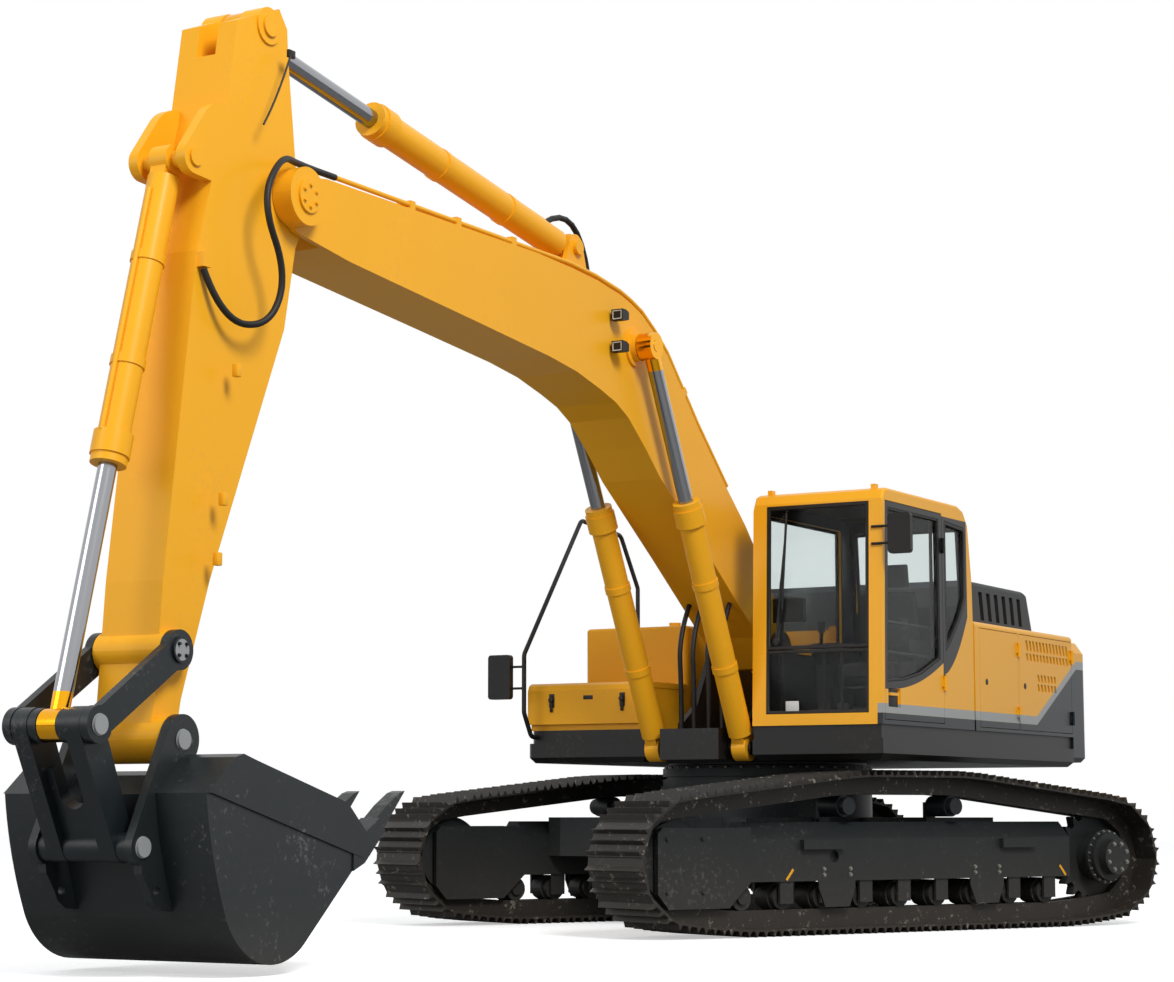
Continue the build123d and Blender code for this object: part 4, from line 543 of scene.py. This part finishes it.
SIDE_PANE_Y = 1.47 - 0.012
door_window = [(0.145, 1.925), (0.5, 1.80), (0.8, 1.745), (1.104, 1.722), (1.065, 2.945), (0.145, 2.945)]
quarter_window = [(0.04, 1.985), (0.04, 2.945), (-0.330, 2.925), (-0.362, 2.890), (-0.355, 2.40),
                  (-0.31, 2.32), (-0.24, 2.23), (-0.16, 2.15), (-0.06, 2.06)]
seal("door_seal", "cab_door", [house(x, SIDE_PANE_Y, z) for x, z in door_window], 0.018, 0.020)
seal("quarter_seal", "upper", [house(x, SIDE_PANE_Y, z) for x, z in quarter_window], 0.030, 0.026)


def cab_front(z):
    return 1.19 - 0.048 * (z - 1.43) / 1.57


def front_pane(low, high, out):
    left, right = 1.365, 0.575
    corners = ((right, low), (left, low), (left, high), (right, high))
    return [house(cab_front(z) + out, y, z) for y, z in corners]


seal("front_seal_high", "upper", front_pane(1.962, 2.985, -0.012), 0.028, 0.022)
seal("front_seal_low", "upper", front_pane(1.510, 1.958, -0.012), 0.024, 0.022)
right_window = [(-0.25, 1.95), (1.05, 1.95), (1.05, 2.94), (-0.25, 2.94)]
seal("right_seal", "upper", [house(x, 0.47 + 0.012, z) for x, z in right_window], 0.025, 0.022)
rear_window = [(-0.486, 0.55, 2.33), (-0.486, 1.39, 2.33), (-0.435, 1.39, 2.93), (-0.435, 0.55, 2.93)]
seal("rear_seal", "upper", [house(x + 0.014, y, z) for x, y, z in rear_window], 0.025, 0.020)
print("seals made")

# %% [markdown]
# The front window has a wiper: a bent arm on a small motor cap and a thin blade. The arm is two round bars
# that meet at a knuckle, and the blade is a slim block.

# %% Wiper and grab bars
wiper_foot = house(cab_front(2.02) + 0.004, 0.66, 2.02)
wiper_mid = house(cab_front(2.45) + 0.022, 0.70, 2.45)
wiper_top = house(cab_front(2.80) + 0.012, 0.73, 2.80)
cap = bar_between(wiper_foot - Vector((0.01, 0, 0)), wiper_foot + Vector((0.02, 0, 0)), 0.028, 20, 0.004)
wiper_arm = bar_between(wiper_foot + Vector((0.012, 0, 0)), wiper_mid, 0.008, 12)
wiper_end = bar_between(wiper_mid, wiper_top, 0.006, 12)
blade_low = house(cab_front(2.25) + 0.008, 0.70, 2.25)
blade_high = house(cab_front(2.93) + 0.008, 0.735, 2.93)
blade = bar_between(blade_low, blade_high, 0.009, 6)
settle(joined([cap, wiper_arm, wiper_end, blade]), "wiper", "upper", "black_plastic")
inner_bars = [
    bar_between(house(0.12, 1.395, 2.15), house(1.05, 1.395, 2.15), 0.011, 12),
    bar_between(house(0.12, 1.395, 1.94), house(1.05, 1.395, 1.94), 0.011, 12),
    bar_between(house(0.12, 1.395, 1.90), house(0.12, 1.395, 2.95), 0.013, 12),
]
settle(joined(inner_bars), "door_bars", "cab_door", "black_plastic")
print("wiper and bars made")

# %% [markdown]
# The operator's place is padded. Its cushion and back are crowned forms: a cube is divided, its middle is
# raised and its sides are drawn in, and a subdivision surface rounds the whole. They replace the plain solid.

# %% The padded place to sit
SIT_Y = 0.97
FLOOR_Z = 1.4806


def pad(name, middle, size, crown, lean=0.0, ribs=0):
    """A crowned cushion; crown is how far its top stands above its rim, and ribs are sewn channels."""
    clean_start()
    bpy.ops.mesh.primitive_cube_add(size=1, location=(0, 0, 0))
    piece = bpy.context.object
    piece.scale = size
    bpy.ops.object.transform_apply(location=False, rotation=False, scale=True)
    bpy.ops.object.mode_set(mode="EDIT")
    bpy.ops.mesh.select_all(action="SELECT")
    bpy.ops.mesh.subdivide(number_cuts=7)
    bpy.ops.object.mode_set(mode="OBJECT")
    half = Vector(size) / 2
    for vertex in piece.data.vertices:
        u, v = vertex.co.x / half.x, vertex.co.y / half.y
        fall = max(0.0, (1 - u * u)) ** 0.5 * max(0.0, (1 - v * v)) ** 0.5
        if vertex.co.z > 0:
            vertex.co.z += crown * fall
            if ribs:
                vertex.co.z -= 0.006 * max(0.0, math.cos(v * math.pi * ribs)) ** 8 * fall
        pinch = 1 - 0.03 * (1 - abs(vertex.co.z) / half.z)
        vertex.co.x *= pinch
        vertex.co.y *= pinch
    smooth = piece.modifiers.new("round", "SUBSURF")
    smooth.levels = smooth.render_levels = 2
    clean_start()
    piece.select_set(True)
    bpy.context.view_layer.objects.active = piece
    bpy.ops.object.modifier_apply(modifier=smooth.name)
    piece.rotation_euler = (0, lean, 0)
    piece.location = middle
    settle(piece, name, "upper", "fabric", 60)
    return piece


cushion = pad("sit_cushion", house(0.13, SIT_Y, FLOOR_Z + 0.365), (0.47, 0.46, 0.10), 0.022, 0.0, 3)
back_lean = math.radians(-82)
back_pad = pad("sit_back", house(-0.105, SIT_Y, FLOOR_Z + 0.68), (0.58, 0.43, 0.08), 0.020, back_lean, 3)
head_pad = pad("sit_head", house(-0.155, SIT_Y, FLOOR_Z + 1.09), (0.17, 0.24, 0.06), 0.012, back_lean)
# Each step of the base: from x, to x, half its width, from z, to z, and its softened edge.
BASE_STEPS = [
    (-0.05, 0.29, 0.19, 0.001, 0.10, 0.012),
    (-0.02, 0.26, 0.15, 0.10, 0.25, 0.03),
    (-0.10, 0.35, 0.22, 0.25, 0.32, 0.015),
]
base_parts = [
    slab_between(house(x0, SIT_Y - half, FLOOR_Z + z0), house(x1, SIT_Y + half, FLOOR_Z + z1), soft)
    for x0, x1, half, z0, z1, soft in BASE_STEPS
]
base = settle(joined(base_parts), "sit_base", "upper", "black_plastic")
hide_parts("seat")
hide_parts("seat")
print("padded pieces: 3")

# %% [markdown]
# Mirrors and lamps need something that shines. Each gets a flat glass in a thin rim: a block whose face is
# inset and pushed in.

# %% Mirror and lamp glasses


def glass_in_rim(name, body, middle, way, width, height, finish_name):
    clean_start()
    bpy.ops.mesh.primitive_cube_add(size=1, location=middle)
    piece = bpy.context.object
    piece.scale = (0.010, width, height)
    bpy.ops.object.transform_apply(location=False, rotation=False, scale=True)
    rounded(piece, 0.003, 2)
    for face in piece.data.polygons:
        face.select = face.normal.x * way > 0.9
    bpy.ops.object.mode_set(mode="EDIT")
    bpy.ops.mesh.select_mode(type="FACE")
    bpy.ops.mesh.inset(thickness=0.006)
    bpy.ops.transform.translate(value=(-way * 0.003, 0, 0))
    bpy.ops.object.mode_set(mode="OBJECT")
    return settle(piece, name, body, finish_name)


RAIL_X = 1.22
right_middle = house(RAIL_X - 0.012, -1.597, 1.825)
glass_in_rim("mirror_glass_right", "upper", right_middle, -1, 0.15, 0.28, "lamp_glass")
left_middle = house(cab_front(2.6) + 0.009 + 0.008 + 0.004, 1.62, 2.74)
glass_in_rim("mirror_glass_left", "upper", left_middle, -1, 0.13, 0.24, "lamp_glass")
for label, z in (("low", 3.880), ("high", 4.095)):
    glass_in_rim("boom_lamp_" + label, "boom", house(2.812, 0.295, z + 0.038), 1, 0.070, 0.062, "lamp_glass")
print("glasses made")

# %% [markdown]
# The toolbox is closed by two rubber latches with a pull. Each is a rounded strap with a knob that hangs
# over a small plate. Between them sits a blank badge. The cab's blank plate, the door handle and the locks of
# the side doors are made the same way.

# %% Latches and a blank badge
BOX_FACE = 1.05


def on_box(low, high, soft):
    """A block on the toolbox's front face; its corners are given from that face."""
    return slab_between(house(BOX_FACE + low[0], *low[1:]), house(BOX_FACE + high[0], *high[1:]), soft)


for label, y in (("left", -0.66), ("right", -1.26)):
    plate = on_box((-0.002, y - 0.022, 1.60), (0.006, y + 0.022, 1.70), 0.003)
    strap = on_box((0.004, y - 0.012, 1.565), (0.016, y + 0.012, 1.69), 0.005)
    knob = bar_between(house(BOX_FACE + 0.002, y, 1.655), house(BOX_FACE + 0.026, y, 1.655), 0.020, 20, 0.005)
    settle(joined([plate, strap, knob]), "toolbox_latch_" + label, "toolbox_lid", "rubber")
badge = on_box((-0.002, -0.99, 1.655), (0.003, -0.91, 1.685), 0.002)
settle(badge, "toolbox_badge", "toolbox_lid", "black_plastic")
plate_x = cab_front(1.55)
plate = slab_between(house(plate_x - 0.006, 0.73, 1.53), house(plate_x + 0.001, 0.83, 1.60), 0.001)
settle(plate, "blank_plate", "upper", "pale_plate")
handle = joined([
    slab_between(house(0.90, 1.452, 1.555), house(1.08, 1.458, 1.675), 0.002),
    bar_between(house(0.935, 1.466, 1.640), house(1.055, 1.466, 1.640), 0.010, 16, 0.003),
])
settle(handle, "door_handle", "cab_door", "black_plastic")
locks = []
for x, z in ((-1.55, 1.80), (-0.75, 1.80)):
    locks.append(bar_between(house(x, 1.462, z), house(x, 1.474, z), 0.024, 24, 0.003))
settle(locks[0], "rear_door_lock", "left_rear_door", "black_plastic")
settle(locks[1], "front_door_lock", "left_front_door", "black_plastic")
right_lock = bar_between(house(-0.88, -1.462, 1.80), house(-0.88, -1.474, 1.80), 0.024, 24, 0.003)
settle(right_lock, "right_door_lock", "right_door", "black_plastic")
print("latches made")

# %% [markdown]
# Bolts are modelled once and copied. They stand on the hubs, the turning ring, the rollers' guards, the
# idlers' plates, the boom's tip and the levers.

# %% Bolts


def ring(middle, across, up, radius, count):
    turns = [2 * math.pi * (k + 0.5) / count for k in range(count)]
    return [middle + (across * math.cos(t) + up * math.sin(t)) * radius for t in turns]


TUMBLER_X = 2.015
TRACK_MIDDLE = 1.34
AXLE_Z = 0.5
FRAME_FACE = 1.5
HUB_CAP_OUT = 0.290
HUB_FLANGE_OUT = 0.175
UP = Vector((0, 0, 1))
FORWARD = Vector((1, 0, 0))
along_tracks = chassis(1, 0, 0) - chassis(0, 0, 0)
out_of_track = chassis(0, 1, 0) - chassis(0, 0, 0)
for label, sign in (("left", 1), ("right", -1)):
    out = out_of_track * sign
    hub = chassis(-TUMBLER_X, sign * (TRACK_MIDDLE + HUB_CAP_OUT), AXLE_Z)
    around = ring(hub, along_tracks, UP, 0.100, 8)
    bolt_row("hub_cap_bolts_" + label, "undercarriage", around, out, 0.013)
    flange = chassis(-TUMBLER_X, sign * (TRACK_MIDDLE + HUB_FLANGE_OUT), AXLE_Z)
    around = ring(flange, along_tracks, UP, 0.1875, 20)
    bolt_row("hub_flange_bolts_" + label, "undercarriage", around, out, 0.008)
    for x in (0.635, -0.795):
        spots = [chassis(x + dx, sign * FRAME_FACE, z) for dx in (-0.12, 0.12) for z in (0.40, 0.44)]
        bolt_row(f"guard_bolts_{label}_{'front' if x > 0 else 'rear'}", "undercarriage", spots, out, 0.012)
    cover = [chassis(TUMBLER_X + dx, sign * FRAME_FACE, AXLE_Z + dz) for dx in (-0.20, 0.10)
             for dz in (-0.20, 0.15)]
    bolt_row("yoke_bolts_" + label, "undercarriage", cover, out, 0.014, finish_name="slate")
ring_bolts = [chassis(0.765 * math.cos(t), 0.765 * math.sin(t), 1.150) for t in
              [2 * math.pi * k / 40 for k in range(40)]]
bolt_row("turning_ring_bolts", "undercarriage", ring_bolts, UP, 0.011, 0.009)
SIDE = Vector((0, 1, 0))
for label, sign in (("left", 1), ("right", -1)):
    out = SIDE * sign
    around = ring(house(6.35, sign * 0.334, 4.22), FORWARD, UP, 0.062, 6)
    bolt_row("tip_bolts_" + label, "boom", around, out, 0.010, finish_name="gear_yellow")
    around = ring(house(LEVER_PIVOT[0], sign * 0.288, LEVER_PIVOT[1]), FORWARD, UP, 0.042, 4)
    bolt_row("lever_bolts_" + label, "levers", around, out, 0.008, finish_name="slate")
print("bolts made")

# %% [markdown]
# The tracks' rail frames show small yellow marks where the machine is tied down on a trailer. They are thin
# plates, turned on the face of the frame.

# %% Tie-down marks
for label, x, z, lean in (("front", 1.062, 0.405, -1), ("rear", -1.565, 0.405, 1)):
    for side_label, sign in (("left", 1), ("right", -1)):
        clean_start()
        bpy.ops.mesh.primitive_cube_add(size=1, location=(0, 0, 0))
        mark = bpy.context.object
        mark.scale = (0.018, 0.003, 0.095)
        bpy.ops.object.transform_apply(location=False, rotation=False, scale=True)
        rounded(mark, 0.001, 1)
        mark.rotation_euler = (0, math.radians(40) * lean, -SLEW)
        mark.location = chassis(x, sign * (FRAME_FACE + 0.0012), z)
        settle(mark, f"tie_mark_{label}_{side_label}", "undercarriage", "gear_yellow")
print("marks made")

# %% [markdown]
# Hoses: each keeps the route that its solid has. The points are the control points of one smooth NURBS line,
# and the bevel gives it its thickness. The line is measured before it is given that thickness, so its length is
# true.

# %% Hoses


def hose(name, points, diameter, body, stands_for):
    curve = bpy.data.curves.new(name, "CURVE")
    curve.dimensions = "3D"
    line = curve.splines.new("NURBS")
    line.points.add(len(points) - 1)
    for spot, point in zip(line.points, points):
        spot.co = (*point, 1)
    line.order_u = 3
    line.use_endpoint_u = True
    line.resolution_u = 10
    piece = bpy.data.objects.new(name, curve)
    bpy.context.collection.objects.link(piece)
    bpy.context.view_layer.update()
    flat = bpy.data.meshes.new_from_object(piece.evaluated_get(bpy.context.evaluated_depsgraph_get()))
    spots = [vertex.co for vertex in flat.vertices]
    length = sum((spots[edge.vertices[0]] - spots[edge.vertices[1]]).length for edge in flat.edges)
    curve.bevel_depth = diameter / 2
    curve.bevel_resolution = 4
    curve.use_fill_caps = True
    curve.materials.append(FINISHES["rubber"])
    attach(piece, body)
    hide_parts(stands_for)
    return length


BOOM_HOSE = 0.036
ARM_HOSE = 0.038
slope = math.atan2(2.630 - 2.100, 1.370 - 0.600)
square = (-math.sin(slope), math.cos(slope))
landing = (0.930 - 0.0003 * square[0], 2.100 + math.tan(slope) * 0.330 - 0.0003 * square[1] - 0.001)
for k, y in enumerate((-0.165, -0.06, 0.06, 0.165)):
    route = [
        house(1.060, y, 1.4203),
        house(1.060, y, 1.720),
        house(landing[0] - 0.29 * square[0], y, landing[1] - 0.29 * square[1]),
        house(landing[0], y, landing[1]),
    ]
    length = hose(f"boom_hose_{k + 1}", route, BOOM_HOSE, "upper", "boom_hoses")
print("boom hose length", round(length, 3))
ARM_ROUTE = [
    (5.9503, 0.212, 4.423), (6.290, 0.212, 4.423), (6.640, 0.345, 4.390), (6.850, 0.375, 4.090),
    (6.610, 0.375, 3.720), (6.720, 0.340, 3.420), (7.030, 0.262, 3.410), (7.135, 0.213, 3.682),
]
length = hose("arm_hose_line", [house(*p) for p in ARM_ROUTE], ARM_HOSE, "boom", "arm_hose")
print("arm hose length", round(length, 3))

# %% [markdown]
# Thin lines finish the working gear: a bent hose at the foot of the arm cylinder, and grease lines with small
# blocks where they begin. The arm's sides get their small lugs.

# %% Thin lines and small blocks


def stubs(name, body, points, radius, finish_name):
    """A short fixed pipe: straight bars with a ball of the same thickness at each bend."""
    runs = [bar_between(a, b, radius, 12) for a, b in zip(points, points[1:])]
    for point in points[1:-1]:
        clean_start()
        bpy.ops.mesh.primitive_uv_sphere_add(segments=12, ring_count=8, radius=radius * 1.02, location=point)
        runs.append(bpy.context.object)
    return settle(joined(runs), name, body, finish_name)


def arc(start, corner, end, steps=7):
    """Points on the smooth bend that a corner pulls between two ends."""
    return [start * (1 - t) ** 2 + corner * (2 * t * (1 - t)) + end * t ** 2 for t in
            [k / steps for k in range(steps + 1)]]


# The bent hose, from the cylinder's foot back down to the boom's top.
loop = arc(house(3.28, 0.0, 4.70), house(2.78, 0.0, 4.98), house(2.66, 0.0, 4.30), 9)
stubs("arm_cylinder_loop", "boom", loop, 0.020, "rubber")
for label, sign in (("left", 1), ("right", -1)):
    side = sign * 0.282
    grease = arc(house(6.48, side, 5.00), house(6.60, side, 4.72), house(6.72, side, 4.55), 5)
    stubs("grease_line_" + label, "arm", grease, 0.006, "black_plastic")
    side = sign * 0.270
    foot_block = slab_between(house(6.44, side - 0.004, 4.985), house(6.50, side + 0.016, 5.03), 0.004)
    settle(foot_block, "grease_block_" + label, "arm", "black_plastic")
    lugs = []
    for x, z in ((6.92, 3.16), (7.02, 2.46), (7.06, 2.14)):
        low, high = sorted((sign * 0.262, sign * 0.300))
        lugs.append(slab_between(house(x - 0.02, low, z - 0.035), house(x + 0.02, high, z + 0.035), 0.006))
    settle(joined(lugs), "arm_lugs_" + label, "arm", "gear_yellow")
print("lines made")

# %% [markdown]
# The object stands on a pale floor in soft light. The background is white where the camera sees it straight,
# mirrored or through glass, and dimmer for the light that it gives, so the paint keeps its colour.

# %% Floor, light and camera
clean_start()
bpy.ops.mesh.primitive_plane_add(size=120, location=(0, 0, -0.001))
floor = bpy.context.object
floor.name = "floor"
floor_paint = bpy.data.materials.new("floor_paint")
floor_paint.use_nodes = True
tree = floor_paint.node_tree
shader = tree.nodes["Principled BSDF"]
cloudy = noise(tree, new_node(tree, "ShaderNodeTexCoord").outputs["Object"], 0.3)
pale = blend_colours(tree, cloudy, (0.94, 0.94, 0.94, 1), (0.97, 0.97, 0.97, 1))
paths = new_node(tree, "ShaderNodeLightPath")
tree.links.new(blend_colours(tree, paths.outputs["Is Camera Ray"], (0.28, 0.28, 0.28, 1), pale),
               shader.inputs["Base Color"])
shader.inputs["Emission Color"].default_value = (1, 1, 1, 1)
glow = sums(tree, "MULTIPLY", paths.outputs["Is Camera Ray"], 0.45)
tree.links.new(glow, shader.inputs["Emission Strength"])
shader.inputs["Roughness"].default_value = 0.55
floor.data.materials.append(floor_paint)

world = bpy.data.worlds.new("studio")
bpy.context.scene.world = world
world.use_nodes = True
tree = world.node_tree
sky = tree.nodes["Background"]
sky.inputs["Color"].default_value = (0.92, 0.96, 1.0, 1)
sky.inputs["Strength"].default_value = 0.42
white = new_node(tree, "ShaderNodeBackground")
white.inputs["Color"].default_value = (1, 1, 1, 1)
white.inputs["Strength"].default_value = 1.0
paths = new_node(tree, "ShaderNodeLightPath")
seen = sums(tree, "MAXIMUM", paths.outputs["Is Camera Ray"],
            sums(tree, "MAXIMUM", paths.outputs["Is Glossy Ray"], paths.outputs["Is Transmission Ray"]))
choose = new_node(tree, "ShaderNodeMixShader")
tree.links.new(seen, choose.inputs[0])
tree.links.new(sky.outputs[0], choose.inputs[1])
tree.links.new(white.outputs[0], choose.inputs[2])
tree.links.new(choose.outputs[0], tree.nodes["World Output"].inputs["Surface"])


def soft_lamp(name, place, target, size, watts):
    data = bpy.data.lights.new(name, "AREA")
    data.shape = "DISK"
    data.size = size
    data.energy = watts
    lamp = bpy.data.objects.new(name, data)
    lamp.location = place
    lamp.rotation_euler = (Vector(target) - Vector(place)).to_track_quat("-Z", "Y").to_euler()
    bpy.context.collection.objects.link(lamp)
    return lamp


soft_lamp("key", (9, 13, 15), (0, 0, 2), 7, 2900)
soft_lamp("fill", (17, -5, 7), (1, 0, 2), 9, 700)

camera_data = bpy.data.cameras.new("camera")
camera = bpy.data.objects.new("camera", camera_data)
bpy.context.collection.objects.link(camera)
PHOTO_WIDTH = 1174
FOCAL_PIXELS = 2653.7
camera_data.sensor_width = 36
camera_data.lens = FOCAL_PIXELS / PHOTO_WIDTH * camera_data.sensor_width
camera_data.shift_x = 0.015
camera_data.shift_y = -0.010
camera.location = (15.72, 8.87, 0.818)
turn, rise = math.radians(-149.6), math.radians(7.18)
looking = Vector((math.cos(rise) * math.cos(turn), math.cos(rise) * math.sin(turn), math.sin(rise)))
camera.rotation_euler = looking.to_track_quat("-Z", "Y").to_euler()
bpy.context.scene.camera = camera
bpy.context.scene.view_settings.view_transform = "Standard"
print("lens", round(camera_data.lens, 1))
